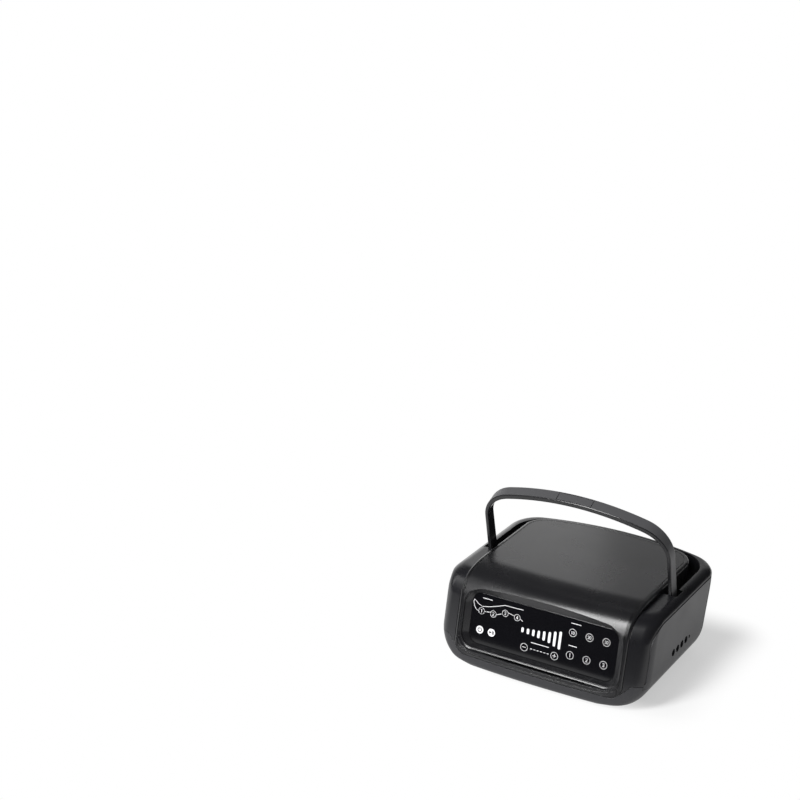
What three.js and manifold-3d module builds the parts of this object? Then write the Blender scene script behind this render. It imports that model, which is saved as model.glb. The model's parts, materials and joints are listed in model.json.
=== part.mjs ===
import * as THREE from "three";
import { mergeVertices } from "three/addons/utils/BufferGeometryUtils.js";
import Module from "manifold-3d";

const wasm = await Module();
wasm.setup();

// Overall size of the housing
const bodyWidth = 254;
const bodyDepth = 226.4;
const rimHeight = 99;
const coverRise = 6.5;
const footDrop = 2;

// Form of the housing
const frontRake = THREE.MathUtils.degToRad(13);
const rearRake = THREE.MathUtils.degToRad(18);
const frontBow = 1200;
const rearBow = 330;
const frontCorner = 20;
const rearCorner = 30;
const topFrontBend = 31;
const chinBend = 5;
const rearTopBend = 80;
const rearTopEdge = 2.5;
const rearFootBend = 14;
const sideFootBend = 34;
const shoulderDrop = 6;
const shoulderBend = 13;
const wall = 3;
const seamHeight = 30;

// Clearances shared by the whole assembly
const seamGap = 0.4;
const fitGap = 0.3;
const overrun = 20;
const levelGap = 1;

// Centre cover with the display rim
const pillarWidth = 24.3;
const coverRearGap = 17;
const coverCorner = 31;
const coverLip = 1.5;
const coverTopBend = 38;
const coverFoot = 14;
const coverFootBend = 7;
const coverFootCorner = 24;
const coverFootRise = 13;
const coverWall = 2.6;
const coverEdge = 2;
const fasciaDepth = 16;

// Channel that the handle folds into
const channelWidth = 12.5;
const channelRearGap = 4.8;
const channelCorner = 41;
const channelDepth = 21;
const troughWall = 2.3;
const coamingDrop = 5;

// Pivot pockets at the front ends of the channel
const pocketLip = 0.9;
const pocketSide = 4.6;
const pocketMargin = 0.8;
const pocketCapDrop = 4.5;

// Display panel
const glassSideGap = 13.7;
const glassDrop = 22.5;
const glassCorner = 12;
const glassThickness = 3;
const glassSet = 11.6;
const glassFootZ = 25.3;
const glassRake = THREE.MathUtils.degToRad(12);
const glassLedge = 5;
const glassSeat = 2;

// Opening of the display rim in the plane of the glass
const rimSide = 6.5;
const rimFoot = 3;
const rimTop = 6;
const rimCrown = 3.5;
const rimFootCorner = 15;
const rimTopCorner = 22;
const rimMouth = 5;
const rimCrest = 8.5;
const rimRoll = 2.5;
const rimWall = 2.4;

// Side panels
const panelThickness = 3;
const panelFoot = 26.5;
const panelTopGap = 1;
const panelFrontGap = 14;
const panelRearGap = 42;
const panelTopCorner = 27;
const panelRearCorner = 12;

// Air outlets in the side panels
const portCount = 4;
const portPitch = 11.4;
const portBore = 8.3;
const portRise = 5;
const portFirstY = -27;
const keyBore = 4;
const keyOffset = 9.2;
const portBlockDepth = 17;
const portBlockMargin = 6;
const portBlockHeight = 9.6;
const portSocketDepth = 14;
const barbBore = 3;

// Handle
const pivotY = -0.5;
const pivotRise = 9;
const handleLean = THREE.MathUtils.degToRad(12);
const handleClearance = 1;
const handleCorner = 40;
const handleArm = 4.6;
const handleBar = 8.6;
const handleDepth = 13;
const handleFootDepth = 14;
const handleEdge = 1.6;
const hubRadius = 7;
const hubLength = 11;
const pinRadius = 2.5;
const pinBite = 2.2;
const washerRadius = 6;
const washerThickness = 1.2;
const linerThickness = 2.4;
const linerEnd = 27.2;
const linerMargin = 1.8;
const inlayHalfWidth = 21;
const inlayDepth = 12;
const inlayThickness = 1.2;

// Feet and screws
const footRadius = 10;
const footRecess = 2;
const footSideGap = 49;
const footFrontGap = 35.2;
const footRearGap = 55.2;
const postSideGap = 21;
const postFrontGap = 43.2;
const postRearGap = 51.2;
const postRadius = 5.5;
const screwHeadRadius = 3.4;
const screwHeadHeight = 2.4;
const screwHeadSink = 16;
const screwShankRadius = 1.5;
const screwLength = 24;
const bossLength = 26;

// Air pump
const pumpX = 10;
const pumpShare = 0.024;
const mountRadius = 6;
const mountHeight = 8.5;
const mountFlange = 2;
const mountWaistShare = 0.7;
const trayThickness = 1.6;
const trayMargin = 7;
const trayLip = 5;
const crankLength = 30;
const crankHalf = 21;
const crankWall = 3;
const motorRadius = 18;
const motorLength = 54;
const motorEdge = 2;
const motorNose = 6;
const shaftRadius = 2;
const eccentricRadius = 7;
const eccentricWidth = 8;
const eccentricThrow = 2;
const membraneRadius = 18;
const membraneThickness = 2;
const stemRadius = 3.5;
const headRadius = 20;
const headHeight = 13;
const nippleRadius = 2.6;
const nippleLength = 7;
const fanGap = 1.5;
const fanLength = 7;
const fanRadius = 15;
const fanBlades = 6;
const bladeThickness = 1.2;
const bladeTwist = THREE.MathUtils.degToRad(35);
const bladeShare = 0.9;
const silencerRadius = 12;
const silencerHeight = 9;
const silencerRibs = 2;
const ribWidth = 1.2;

// Valves and hoses
const manifoldShare = -0.212;
const manifoldDepth = 24;
const manifoldHeight = 18;
const manifoldFootLength = 12;
const manifoldFootHeight = 5;
const valvePitch = 26;
const inletShoulder = 12;
const coilHalf = 10;
const coilHeight = 24;
const plungerRadius = 4;
const plungerLength = 18;
const plungerStroke = 1.5;
const tubeRadius = 3;
const tubeRun = 12;

// Boards and cable
const boardX0 = -64;
const boardShare = 0.178;
const boardLength = 138;
const boardDepth = 32;
const boardThickness = 1.6;
const partShares = [
  [0.4, 0.3, 0.08, 0.3, 0.5], [0.52, 0.7, 0.1, 0.4, 0.25], [0.64, 0.3, 0.12, 0.3, 0.2],
  [0.95, 0.15, 0.07, 0.16, 0.3], [0.78, 0.75, 0.1, 0.25, 0.4],
];
const capacitorShares = [[0.36, 0.75, 0.14, 0.8], [0.45, 0.75, 0.14, 0.8]];
const heatSinkShare = 0.84;
const heatSinkFins = 4;
const heatSinkPitch = 4;
const standoffRadius = 3.5;
const standoffHeight = 10;
const transformerShare = 0.15;
const transformerLength = 32;
const transformerDepth = 26;
const transformerHeight = 24;
const windingBulge = 3;
const boardMargin = 2;
const lampHeight = 2;
const lampShares = [
  [-0.55, 0.62, 0.62, 0.3], [-0.5, 0.22, 0.3, 0.24], [0.12, 0.5, 0.4, 0.5], [0.72, 0.5, 0.42, 0.62],
];
const cableX = 34;
const cableWidth = 10;
const cableThickness = 0.6;
const cableRise = 10;
const cableBend = 10;

// Mains inlet in the rear wall
const inletDrop = 26;
const inletWidth = 21;
const inletHeight = 12;
const inletDepth = 16;
const inletFlange = 2.2;
const inletLip = 1.6;
const inletWall = 1.8;
const inletPin = 1.2;
const inletPitch = 4.3;
const inletMouth = 3;
const inletTail = 6;

// Intake slots in the floor
const slotColumns = 7;
const slotPitch = 9;
const slotWidth = 3;
const slotLength = 24;
const slotRows = 2;
const slotRowPitch = 32;
const slotMidY = 8;

const halfWidth = bodyWidth / 2;
const rearY = bodyDepth / 2;
const chinY = -bodyDepth / 2;
const coverHeight = rimHeight + coverRise;
const shoulderHeight = rimHeight - shoulderDrop;
const coverHalfWidth = halfWidth - pillarWidth;
const channelHalfWidth = coverHalfWidth + channelWidth;
const channelFloor = rimHeight - channelDepth;
const inletZ = channelFloor - inletDrop;
const pocketInner = coverHalfWidth + pocketLip;
const pocketOuter = channelHalfWidth + pocketSide;
const pivotZ = channelFloor + pivotRise;
const glassHalfWidth = coverHalfWidth - glassSideGap;
const glassHeight = (coverHeight - glassDrop - glassFootZ) / Math.cos(glassRake);
const rimHalfWidth = glassHalfWidth + rimSide;
const linerHalfSpan = channelHalfWidth - linerEnd;
const portHeight = footDrop + sideFootBend + portRise;
const footX = halfWidth - footSideGap;
const footFrontY = chinY + footFrontGap;
const footRearY = rearY - footRearGap;
const postX = halfWidth - postSideGap;
const postFrontY = chinY + postFrontGap;
const postRearY = rearY - postRearGap;
const pumpY = bodyDepth * pumpShare;
const manifoldY = bodyDepth * manifoldShare;
const boardY0 = bodyDepth * boardShare;
const coverRear = rearY - coverRearGap;
const channelRear = rearY - channelRearGap;
const channelBow = rearBow + coverRearGap - channelRearGap;
const pocketBack = pivotY + hubRadius + pocketMargin;
const pocketFront = pivotY - handleFootDepth / 2 / Math.cos(handleLean)
  - (rimHeight - pivotZ) * Math.tan(handleLean) - fitGap;
const innerX = halfWidth - wall - panelThickness - fitGap;
const floorZ = footDrop + wall;
const skirtFoot = channelFloor + fitGap;
const quarter = Math.PI / 2;
const { sin, cos, tan, sqrt, max, min } = Math;

// Looks
const satinBlack = { color: 0x26262a, roughness: 0.45, metalness: 0 };
const coverBlack = { color: 0x2b2b2e, roughness: 0.42, metalness: 0 };
const panelBlack = { color: 0x333336, roughness: 0.5, metalness: 0 };
const glossBlack = { color: 0x101013, roughness: 0.12, metalness: 0 };
const handleBlack = { color: 0x1d1d20, roughness: 0.32, metalness: 0 };
const rubberBlack = { color: 0x1a1a1a, roughness: 0.85, metalness: 0 };
const steel = { color: 0xb8bac0, roughness: 0.3, metalness: 1 };
const zinc = { color: 0xa9adb3, roughness: 0.45, metalness: 1 };
const brass = { color: 0xc7a14a, roughness: 0.35, metalness: 1 };
const boardGreen = { color: 0x1f5a34, roughness: 0.5, metalness: 0 };
const nylonWhite = { color: 0xe4e2da, roughness: 0.5, metalness: 0 };
const hoseClear = { color: 0xd6dade, roughness: 0.35, metalness: 0 };
const copper = { color: 0xb06a3a, roughness: 0.4, metalness: 1 };
const foamGrey = { color: 0x6d6f73, roughness: 0.95, metalness: 0 };

// A closed geometry as a solid that can be cut and joined
function solid(geometry) {
  const source = geometry.index ? geometry.toNonIndexed() : geometry;
  const bare = new THREE.BufferGeometry();
  bare.setAttribute("position", source.getAttribute("position").clone());
  const merged = mergeVertices(bare);
  return new wasm.Manifold(new wasm.Mesh({
    numProp: 3,
    vertProperties: new Float32Array(merged.attributes.position.array),
    triVerts: new Uint32Array(merged.index.array),
  }));
}

function geometryOf(body) {
  const mesh = body.getMesh();
  const positions = new Float32Array(mesh.vertProperties.length / mesh.numProp * 3);
  for (let i = 0; i < positions.length / 3; i++) {
    for (let k = 0; k < 3; k++) positions[3 * i + k] = mesh.vertProperties[mesh.numProp * i + k];
  }
  const indexed = new THREE.BufferGeometry();
  indexed.setAttribute("position", new THREE.BufferAttribute(positions, 3));
  indexed.setIndex(new THREE.BufferAttribute(new Uint32Array(mesh.triVerts), 1));
  const geometry = indexed.toNonIndexed();
  geometry.computeVertexNormals();
  return geometry;
}

const union = (...bodies) => bodies.reduce((whole, body) => whole.add(body));
const cut = (body, ...tools) => tools.reduce((rest, tool) => rest.subtract(tool), body);

// Directions of an extrusion: the outline's two axes, then its length
const axes = (u, v, w) => new THREE.Matrix4().makeBasis(
  new THREE.Vector3(...u), new THREE.Vector3(...v), new THREE.Vector3(...w));
const sideView = axes([0, 1, 0], [0, 0, 1], [1, 0, 0]);
const rearView = axes([-1, 0, 0], [0, 0, 1], [0, 1, 0]);

function extrude(shape, from, to, view = null, curveSegments = 6) {
  const geometry = new THREE.ExtrudeGeometry(shape, {
    depth: to - from, bevelEnabled: false, curveSegments,
  });
  geometry.translate(0, 0, from);
  if (view) geometry.applyMatrix4(view);
  return solid(geometry);
}

const shapeOf = (points) => new THREE.Shape(points.map(([x, y]) => new THREE.Vector2(x, y)));

// A straight block between two corners, given in any order
function block([ax, ay, az], [bx, by, bz]) {
  const size = [bx - ax, by - ay, bz - az].map(Math.abs);
  const geometry = new THREE.BoxGeometry(...size);
  geometry.translate((ax + bx) / 2, (ay + by) / 2, (az + bz) / 2);
  return solid(geometry);
}

// A round bar between two points on one of the axes' directions
function bar(radius, from, to, sides = 12) {
  const a = new THREE.Vector3(...from);
  const b = new THREE.Vector3(...to);
  const geometry = new THREE.CylinderGeometry(radius, radius, a.distanceTo(b), sides);
  geometry.applyQuaternion(new THREE.Quaternion().setFromUnitVectors(
    new THREE.Vector3(0, 1, 0), b.clone().sub(a).normalize()));
  const middle = a.add(b).multiplyScalar(1 / 2);
  geometry.translate(middle.x, middle.y, middle.z);
  return solid(geometry);
}

// A turned body about the line through a point along a direction
function turned(profile, at, along, sides = 20) {
  const points = profile.map(([r, h]) => new THREE.Vector2(r, h));
  const geometry = new THREE.LatheGeometry(points, sides);
  geometry.applyQuaternion(new THREE.Quaternion().setFromUnitVectors(
    new THREE.Vector3(0, 1, 0), new THREE.Vector3(...along)));
  geometry.translate(...at);
  return solid(geometry);
}

function arc(cx, cy, radius, from, to, steps) {
  return Array.from({ length: steps + 1 }, (_, i) => {
    const angle = from + (to - from) * i / steps;
    return [cx + radius * cos(angle), cy + radius * sin(angle)];
  });
}

// Closed body through rings that have the same number of points
function loft(rings) {
  const count = rings[0].length;
  const positions = rings.flatMap((ring) => ring.flatMap((p) => [p.x, p.y, p.z]));
  const faces = [];
  for (let k = 0; k + 1 < rings.length; k++) {
    for (let i = 0; i < count; i++) {
      const a = k * count + i;
      const b = k * count + (i + 1) % count;
      faces.push([a, b, b + count], [a, b + count, a + count]);
    }
  }
  [0, rings.length - 1].forEach((k) => {
    const ring = rings[k];
    const normal = new THREE.Vector3();
    ring.forEach((p, i) => normal.add(p.clone().cross(ring[(i + 1) % count])));
    const seed = Math.abs(normal.x) > Math.abs(normal.y) ? [0, 1, 0] : [1, 0, 0];
    const u = new THREE.Vector3(...seed).cross(normal).normalize();
    const v = normal.clone().normalize().cross(u);
    const flat = ring.map((p) => new THREE.Vector2(p.dot(u), p.dot(v)));
    THREE.ShapeUtils.triangulateShape(flat, []).forEach(([a, b, c]) => {
      const face = [a, b, c].map((i) => k * count + i);
      faces.push(k === 0 ? face.reverse() : face);
    });
  });
  const build = (list) => {
    const geometry = new THREE.BufferGeometry();
    geometry.setAttribute("position", new THREE.Float32BufferAttribute(positions, 3));
    geometry.setIndex(list.flat());
    return solid(geometry);
  };
  const body = build(faces);
  return body.volume() > 0 ? body : build(faces.map((face) => [...face].reverse()));
}

// Side-by-side copies for the left and right of the machine
const mirrored = (make) => [-1, 1].map(make);

// Plan outline with a bowed front and rear and four round corners
const frontSteps = 4;
const rearSteps = 6;
function planRing(z, half, front, rear, frontR, rearR, frontBowR, rearBowR, detail = 1) {
  const frontCount = Math.ceil(frontSteps * detail);
  const rearCount = Math.ceil(rearSteps * detail);
  const fc = max(frontR, seamGap);
  const rc = max(rearR, seamGap);
  const fa = Math.asin((half - fc) / (frontBowR - fc));
  const ra = Math.asin((half - rc) / (rearBowR - rc));
  const fy = front + frontBowR - (frontBowR - fc) * cos(fa);
  const ry = rear - rearBowR + (rearBowR - rc) * cos(ra);
  return [
    ...arc(-half + fc, fy, fc, -2 * quarter, -quarter - fa, frontCount),
    ...arc(0, front + frontBowR, frontBowR, -quarter - fa, -quarter + fa, frontCount).slice(1, -1),
    ...arc(half - fc, fy, fc, -quarter + fa, 0, frontCount),
    ...arc(half - rc, ry, rc, 0, quarter - ra, rearCount),
    ...arc(0, rear - rearBowR, rearBowR, quarter - ra, quarter + ra, rearCount).slice(1, -1),
    ...arc(-half + rc, ry, rc, quarter + ra, 2 * quarter, rearCount),
  ].map(([x, y]) => new THREE.Vector3(x, y, z));
}

// Half the width of a circle at a distance from its centre
const chord = (radius, distance) => sqrt(max(0, radius ** 2 - distance ** 2));

// Front face at a height: a raked plane, bent back over the top and under at the foot
const frontLine = (h) => chinY + chinBend * (1 - 1 / cos(frontRake))
  + (h - footDrop - chinBend) * tan(frontRake);
function frontAt(z, inset, { foot, top, topBend, footBend, lip }) {
  const plane = (h) => frontLine(h) - lip;
  const topZ = top - topBend;
  const footZ = foot + footBend;
  const big = topBend - inset;
  const small = footBend - inset;
  if (z > topZ + big * sin(frontRake)) {
    return plane(topZ) + topBend / cos(frontRake) - chord(big, z - topZ);
  }
  if (small > 0 && z < footZ + small * sin(frontRake)) {
    return plane(footZ) + footBend / cos(frontRake) - chord(small, z - footZ);
  }
  return plane(z) + inset / cos(frontRake);
}
const housingFront = { foot: footDrop, top: rimHeight, topBend: topFrontBend, footBend: chinBend, lip: 0 };
const coverFront = {
  foot: coverFoot, top: coverHeight, topBend: coverTopBend, footBend: coverFootBend, lip: coverLip,
};

// Rear face at a height: upright under the rim, raked in below it, round at the floor
function rearAt(z, inset) {
  const topZ = rimHeight - rearTopEdge;
  const bendY = rearY - rearTopBend;
  const plane = (h) => bendY + rearTopBend / cos(rearRake) - (topZ - h) * tan(rearRake);
  const footZ = footDrop + rearFootBend;
  const big = rearTopBend - inset;
  const small = rearFootBend - inset;
  if (z > topZ) return rearY - rearTopEdge + chord(max(rearTopEdge - inset, 0), z - topZ);
  if (z > topZ - big * sin(rearRake)) return bendY + chord(big, topZ - z);
  if (z < footZ - small * sin(rearRake)) {
    return plane(footZ) - rearFootBend / cos(rearRake) + chord(small, footZ - z);
  }
  return plane(z) - inset / cos(rearRake);
}

// Half width at a height: flat side, large bend to the floor, round shoulder up to the rim
const shoulderZ = rimHeight - shoulderBend;
const shoulderX = halfWidth - chord(shoulderBend, shoulderHeight - shoulderZ);
function halfAt(z, inset) {
  const footZ = footDrop + sideFootBend;
  const flat = halfWidth - inset;
  if (z < footZ) return halfWidth - sideFootBend + chord(sideFootBend - inset, footZ - z);
  if (z <= shoulderZ) return flat;
  return min(flat, shoulderX + chord(shoulderBend - inset, z - shoulderZ));
}

// Heights of the rings: both ends and even steps round each bend
function heights(bottom, top, bends) {
  const bent = bends.flatMap(([centre, radius, from, to, steps]) => Array.from(
    { length: steps + 1 }, (_, i) => centre + radius * sin(from + (to - from) * i / steps)));
  const levels = [bottom];
  bent.filter((z) => z < top - levelGap).sort((a, b) => a - b).forEach((z) => {
    if (z > levels[levels.length - 1] + levelGap) levels.push(z);
  });
  return [...levels, top];
}

function housingForm(inset, sideInset = inset, detail = 1) {
  const levels = heights(footDrop + inset, rimHeight - inset, [
    [footDrop + sideFootBend, sideFootBend - inset, -quarter, 0, Math.ceil(4 * detail)],
    [footDrop + chinBend, max(chinBend - inset, 0), -quarter, frontRake, Math.ceil(2 * detail)],
    [rimHeight - topFrontBend, topFrontBend - inset, frontRake, quarter, Math.ceil(5 * detail)],
    [shoulderZ, shoulderBend - inset, quarter / 3, quarter, Math.ceil(3 * detail)],
  ]);
  return loft(levels.map((z) => planRing(
    z, halfAt(z, sideInset), frontAt(z, inset, housingFront), rearAt(z, inset),
    frontCorner - inset, rearCorner - inset, frontBow - inset, rearBow - inset, detail)));
}

// Plan outlines of the cover and of the channel, cut off at a front line
function lidShape(half, rear, corner, bow, frontLine) {
  const a = Math.asin((half - corner) / (bow - corner));
  const cy = rear - bow + (bow - corner) * cos(a);
  return shapeOf([
    [-half, frontLine], [half, frontLine],
    ...arc(half - corner, cy, corner, 0, quarter - a, rearSteps),
    ...arc(0, rear - bow, bow, quarter - a, quarter + a, rearSteps).slice(1, -1),
    ...arc(-half + corner, cy, corner, quarter + a, 2 * quarter, rearSteps),
  ]);
}
const coverShape = (grow, frontLine) => lidShape(
  coverHalfWidth + grow, coverRear + grow, coverCorner + grow, rearBow + grow, frontLine);
const channelShape = (grow, frontLine) => lidShape(
  channelHalfWidth + grow, channelRear + grow, channelCorner + grow, channelBow + grow, frontLine);

// Front view outline of the cover's foot, with its corners drawn up to the pillars
function coverFootShape(gap) {
  const half = coverHalfWidth + gap;
  const foot = coverFoot - gap;
  const rise = foot + coverFootRise;
  const turn = coverFootCorner / 2;
  const flat = half - coverFootCorner - turn;
  const shape = new THREE.Shape();
  shape.moveTo(half, coverHeight + overrun);
  shape.lineTo(-half, coverHeight + overrun);
  shape.lineTo(-half, rise);
  shape.bezierCurveTo(-half, foot + turn / 2, -half + turn, foot, -flat, foot);
  shape.lineTo(flat, foot);
  shape.bezierCurveTo(half - turn, foot, half, foot + turn / 2, half, rise);
  return shape;
}

const everywhere = bodyWidth + bodyDepth;
const slab = (from, to) => block([-everywhere, -everywhere, from], [everywhere, everywhere, to]);
const lowerHalf = slab(-overrun, seamHeight);
const upperHalf = slab(seamHeight + seamGap, coverHeight + overrun);
const outerForm = housingForm(0);
const innerForm = housingForm(wall, halfWidth - innerX, 1 / 2);
const housing = outerForm.subtract(innerForm);

// Side panel outline in side view, following the front bend and the rear rake
function panelShape(grow) {
  const foot = panelFoot - grow;
  const top = shoulderHeight - panelTopGap + grow;
  const front = (z) => frontAt(z, 0, housingFront) + panelFrontGap - grow;
  const rear = (z) => rearAt(z, 0) - panelRearGap + grow;
  const bendZ = top - panelTopCorner;
  const bendY = front(bendZ) + panelTopCorner;
  const straight = rearTopBend * sin(rearRake);
  const rearZ = foot + panelRearCorner;
  const rearCentre = rear(rearZ) - panelRearCorner;
  return shapeOf([
    [front(foot), foot],
    ...arc(bendY, bendZ, panelTopCorner, 2 * quarter, quarter, 5),
    [rear(top), top],
    [rear(top - straight / 2), top - straight / 2],
    [rear(top - straight), top - straight],
    ...arc(rearCentre, rearZ, panelRearCorner, 0, -quarter, 3),
  ]);
}
const portY = (i) => portFirstY + i * portPitch;
const keyY = portY(portCount - 1) + keyOffset;
const portBlockFront = portY(0) - portBlockMargin;
const portBlockRear = keyY + portBlockMargin;
const portBlockFace = halfWidth - panelThickness - fitGap;
function portHoles(side, from, to, growth) {
  const holes = Array.from({ length: portCount }, (_, i) => bar(
    portBore / 2 + growth, [side * from, portY(i), portHeight], [side * to, portY(i), portHeight], 12));
  const key = bar(keyBore / 2 + growth, [side * from, keyY, portHeight], [side * to, keyY, portHeight], 10);
  return union(...holes, key);
}
const fromSide = (shape, side) => extrude(
  shape, min(side * panelRoot, side * everywhere), max(side * panelRoot, side * everywhere), sideView);
const panelRoot = innerX - overrun;
const behindPanel = housingForm(panelThickness);
const behindPocket = housingForm(panelThickness + fitGap);
const panelPocket = (side) => fromSide(panelShape(fitGap), side).subtract(behindPocket);
const panels = mirrored((side) => cut(
  fromSide(panelShape(0), side).intersect(outerForm), behindPanel,
  portHoles(side, innerX - overrun, halfWidth + overrun, 0)));

// Posts of the base and bosses of the outer shell, one screw in each pair
const posts = [[-postX, postFrontY], [postX, postFrontY], [-postX, postRearY], [postX, postRearY]];
const headZ = footDrop + screwHeadSink;
const bossReach = (x, y) => union(
  bar(postRadius, [x, y, seamHeight + seamGap], [x, y, seamHeight + bossLength], 12),
  block([x, y - wall / 2, seamHeight + seamGap],
    [Math.sign(x) * (innerX + wall / 2), y + wall / 2, seamHeight + bossLength]));

// Outer shell: pillars, shoulders and rear wall, with the outer cheeks of the pivot pockets
const coamingInset = coverWall + fitGap;
const troughFront = pocketFront - troughWall;
const troughFoot = channelFloor - troughWall;
const cheekTop = rimHeight - pocketCapDrop;
const channel = extrude(channelShape(0, pocketFront), channelFloor, everywhere);
const outerCheeks = mirrored((side) => block([side * pocketOuter, troughFront, troughFoot],
  [side * (innerX + wall / 2), pocketBack + troughWall, cheekTop]));
const pockets = mirrored((side) => block(
  [side * pocketInner, pocketFront, channelFloor], [side * pocketOuter, pocketBack, everywhere]));
const pivotBores = mirrored((side) => bar(pinRadius + fitGap / 2,
  [side * (pocketInner - pinBite), pivotY, pivotZ], [side * (pocketOuter + pinBite), pivotY, pivotZ]));
const shellBosses = posts.map(([x, y]) => bossReach(x, y));
const shellPilots = posts.map(([x, y]) => bar(screwShankRadius + fitGap / 2,
  [x, y, seamHeight - overrun], [x, y, seamHeight + bossLength - wall], 10));
let outerShell = housing.intersect(upperHalf);
outerShell = outerShell.subtract(extrude(coverShape(fitGap, -everywhere), 0, everywhere));
outerShell = union(outerShell, ...outerCheeks, ...shellBosses);
outerShell = cut(outerShell, channel, ...pockets, ...pivotBores);
outerShell = cut(outerShell, ...shellPilots, ...mirrored(panelPocket));
outerShell = cut(outerShell, ...mirrored((side) => block(
  [side * (innerX - overrun), portBlockFront - fitGap, portHeight - portBlockHeight / 2 - fitGap],
  [side * everywhere, portBlockRear + fitGap, portHeight + portBlockHeight / 2 + fitGap])));

// Channel: a gutter with its coaming under the cover and the inner cheeks of the pivot pockets
const gutter = extrude(channelShape(troughWall, troughFront), troughFoot, rimHeight)
  .subtract(extrude(coverShape(-coamingInset - troughWall, -everywhere), 0, everywhere)).subtract(channel);
const coaming = extrude(coverShape(-coamingInset, troughFront), troughFoot, rimHeight - coamingDrop)
  .subtract(extrude(coverShape(-coamingInset - troughWall, -everywhere), 0, everywhere));
const innerCheeks = mirrored((side) => block(
  [side * (pocketInner - 2 * troughWall), troughFront, troughFoot],
  [side * (pocketOuter - fitGap), pocketBack + troughWall, cheekTop]));
const channelRun = extrude(channelShape(0, pocketBack - fitGap), channelFloor, everywhere)
  .subtract(extrude(coverShape(-coamingInset, -everywhere), 0, everywhere));
const skirtSlot = extrude(coverShape(fitGap, -everywhere), cheekTop, everywhere)
  .subtract(extrude(coverShape(-coamingInset, -everywhere), 0, everywhere));
const insideShell = housingForm(wall + fitGap, halfWidth - innerX + fitGap, 1 / 2);
const openRear = block([-channelHalfWidth / 2, coverRear, channelFloor],
  [channelHalfWidth / 2, everywhere, everywhere]);
let handleChannel = union(gutter, coaming, ...innerCheeks).intersect(insideShell);
handleChannel = cut(handleChannel, channelRun, openRear, skirtSlot, ...pockets, ...pivotBores);

// Base shell: tub with the chin, posts for the screws, recesses for the feet and intake slots
const feet = [[-footX, footFrontY], [footX, footFrontY], [-footX, footRearY], [footX, footRearY]];
const basePosts = posts.map(([x, y]) => bar(postRadius, [x, y, 0], [x, y, seamHeight], 12));
const padTop = floorZ + footRecess;
const recessTop = footDrop + footRecess;
const footPads = feet.map(([x, y]) => bar(footRadius + wall, [x, y, footDrop], [x, y, padTop], 16));
const headBores = posts.map(([x, y]) => bar(screwHeadRadius + fitGap, [x, y, -overrun], [x, y, headZ], 10));
const shankBore = screwShankRadius + fitGap / 2;
const shankBores = posts.map(([x, y]) => bar(shankBore, [x, y, 0], [x, y, everywhere], 10));
const footRecesses = feet.map(([x, y]) => bar(footRadius + fitGap, [x, y, -overrun], [x, y, recessTop], 16));
const basePillars = [...basePosts, ...footPads].map((pillar) => pillar.intersect(outerForm));
let baseShell = union(housing.intersect(lowerHalf), ...basePillars);
baseShell = cut(baseShell, ...headBores, ...shankBores, ...footRecesses);
baseShell = cut(baseShell, extrude(coverFootShape(seamGap), -everywhere, 0, rearView, 5));
baseShell = cut(baseShell, ...mirrored(panelPocket));

// Centre cover: a deep lid whose front runs down over the bend and round the display
function coverForm(inset, detail = 1) {
  const edge = max(coverEdge - inset, 0);
  const edgeZ = coverHeight - coverEdge;
  const levels = heights(coverFoot + inset, coverHeight - inset, [
    [coverFoot + coverFootBend, max(coverFootBend - inset, 0), -quarter, frontRake, Math.ceil(3 * detail)],
    [coverHeight - coverTopBend, coverTopBend - inset, frontRake, quarter, Math.ceil(6 * detail)],
    [edgeZ, edge, 0, quarter, 2],
  ]);
  return loft(levels.map((z) => {
    const back = inset + edge - chord(edge, max(z - edgeZ, 0));
    return planRing(z, coverHalfWidth - back, frontAt(z, inset, coverFront), coverRear - back,
      coverEdge - inset, coverCorner - back, frontBow - inset, rearBow - inset);
  }));
}
const behindFascia = shapeOf([
  [frontLine(0) + fasciaDepth, 0],
  [everywhere, 0],
  [everywhere, skirtFoot],
  [frontLine(skirtFoot) + fasciaDepth, skirtFoot],
]);

// Rings in planes parallel to the glass, x across, s up the glass and n out of it
const glassFootY = frontLine(glassFootZ) + glassSet;
const glassUp = new THREE.Vector3(0, sin(glassRake), cos(glassRake));
const glassOut = new THREE.Vector3(0, -cos(glassRake), sin(glassRake));
const glassPoint = (x, s, n) => new THREE.Vector3(x, glassFootY, glassFootZ)
  .addScaledVector(glassUp, s).addScaledVector(glassOut, n);
function frameRing(n, half, foot, top, crown, footCorner, topCorner) {
  const reach = half - topCorner;
  const topSpan = Array.from({ length: 7 }, (_, i) => {
    const share = 1 - (i + 1) / 4;
    return [reach * share, top + crown * (1 - share ** 2)];
  });
  return [
    ...arc(-half + footCorner, foot + footCorner, footCorner, -2 * quarter, -quarter, 5),
    ...arc(half - footCorner, foot + footCorner, footCorner, -quarter, 0, 5),
    ...arc(half - topCorner, top - topCorner, topCorner, 0, quarter, 5),
    ...topSpan,
    ...arc(-half + topCorner, top - topCorner, topCorner, quarter, 2 * quarter, 5),
  ].map(([x, s]) => glassPoint(x, s, n));
}
const glassRing = (n, grow) => frameRing(
  n, glassHalfWidth + grow, -grow, glassHeight + grow, 0, glassCorner + grow, glassCorner + grow);
const rimRing = (n, grow) => frameRing(n, rimHalfWidth + grow, -rimFoot - grow, glassHeight + rimTop + grow,
  rimCrown, rimFootCorner + grow, rimTopCorner + grow);
const seatBack = -glassThickness - fitGap;
const recess = loft([
  glassRing(seatBack, fitGap), glassRing(fitGap, fitGap),
  rimRing(rimMouth, 0), rimRing(rimCrest, fitGap), rimRing(rimCrest + rimRoll, rimRoll),
  rimRing(rimCrest + overrun, overrun / 4),
]);
const rimTub = loft([
  glassRing(seatBack - glassSeat, rimWall), glassRing(fitGap, rimWall),
  rimRing(rimMouth, rimWall), rimRing(rimCrest + overrun, rimWall),
]);
const window = loft([glassRing(seatBack - overrun, -glassLedge), glassRing(0, -glassLedge)]);
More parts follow.
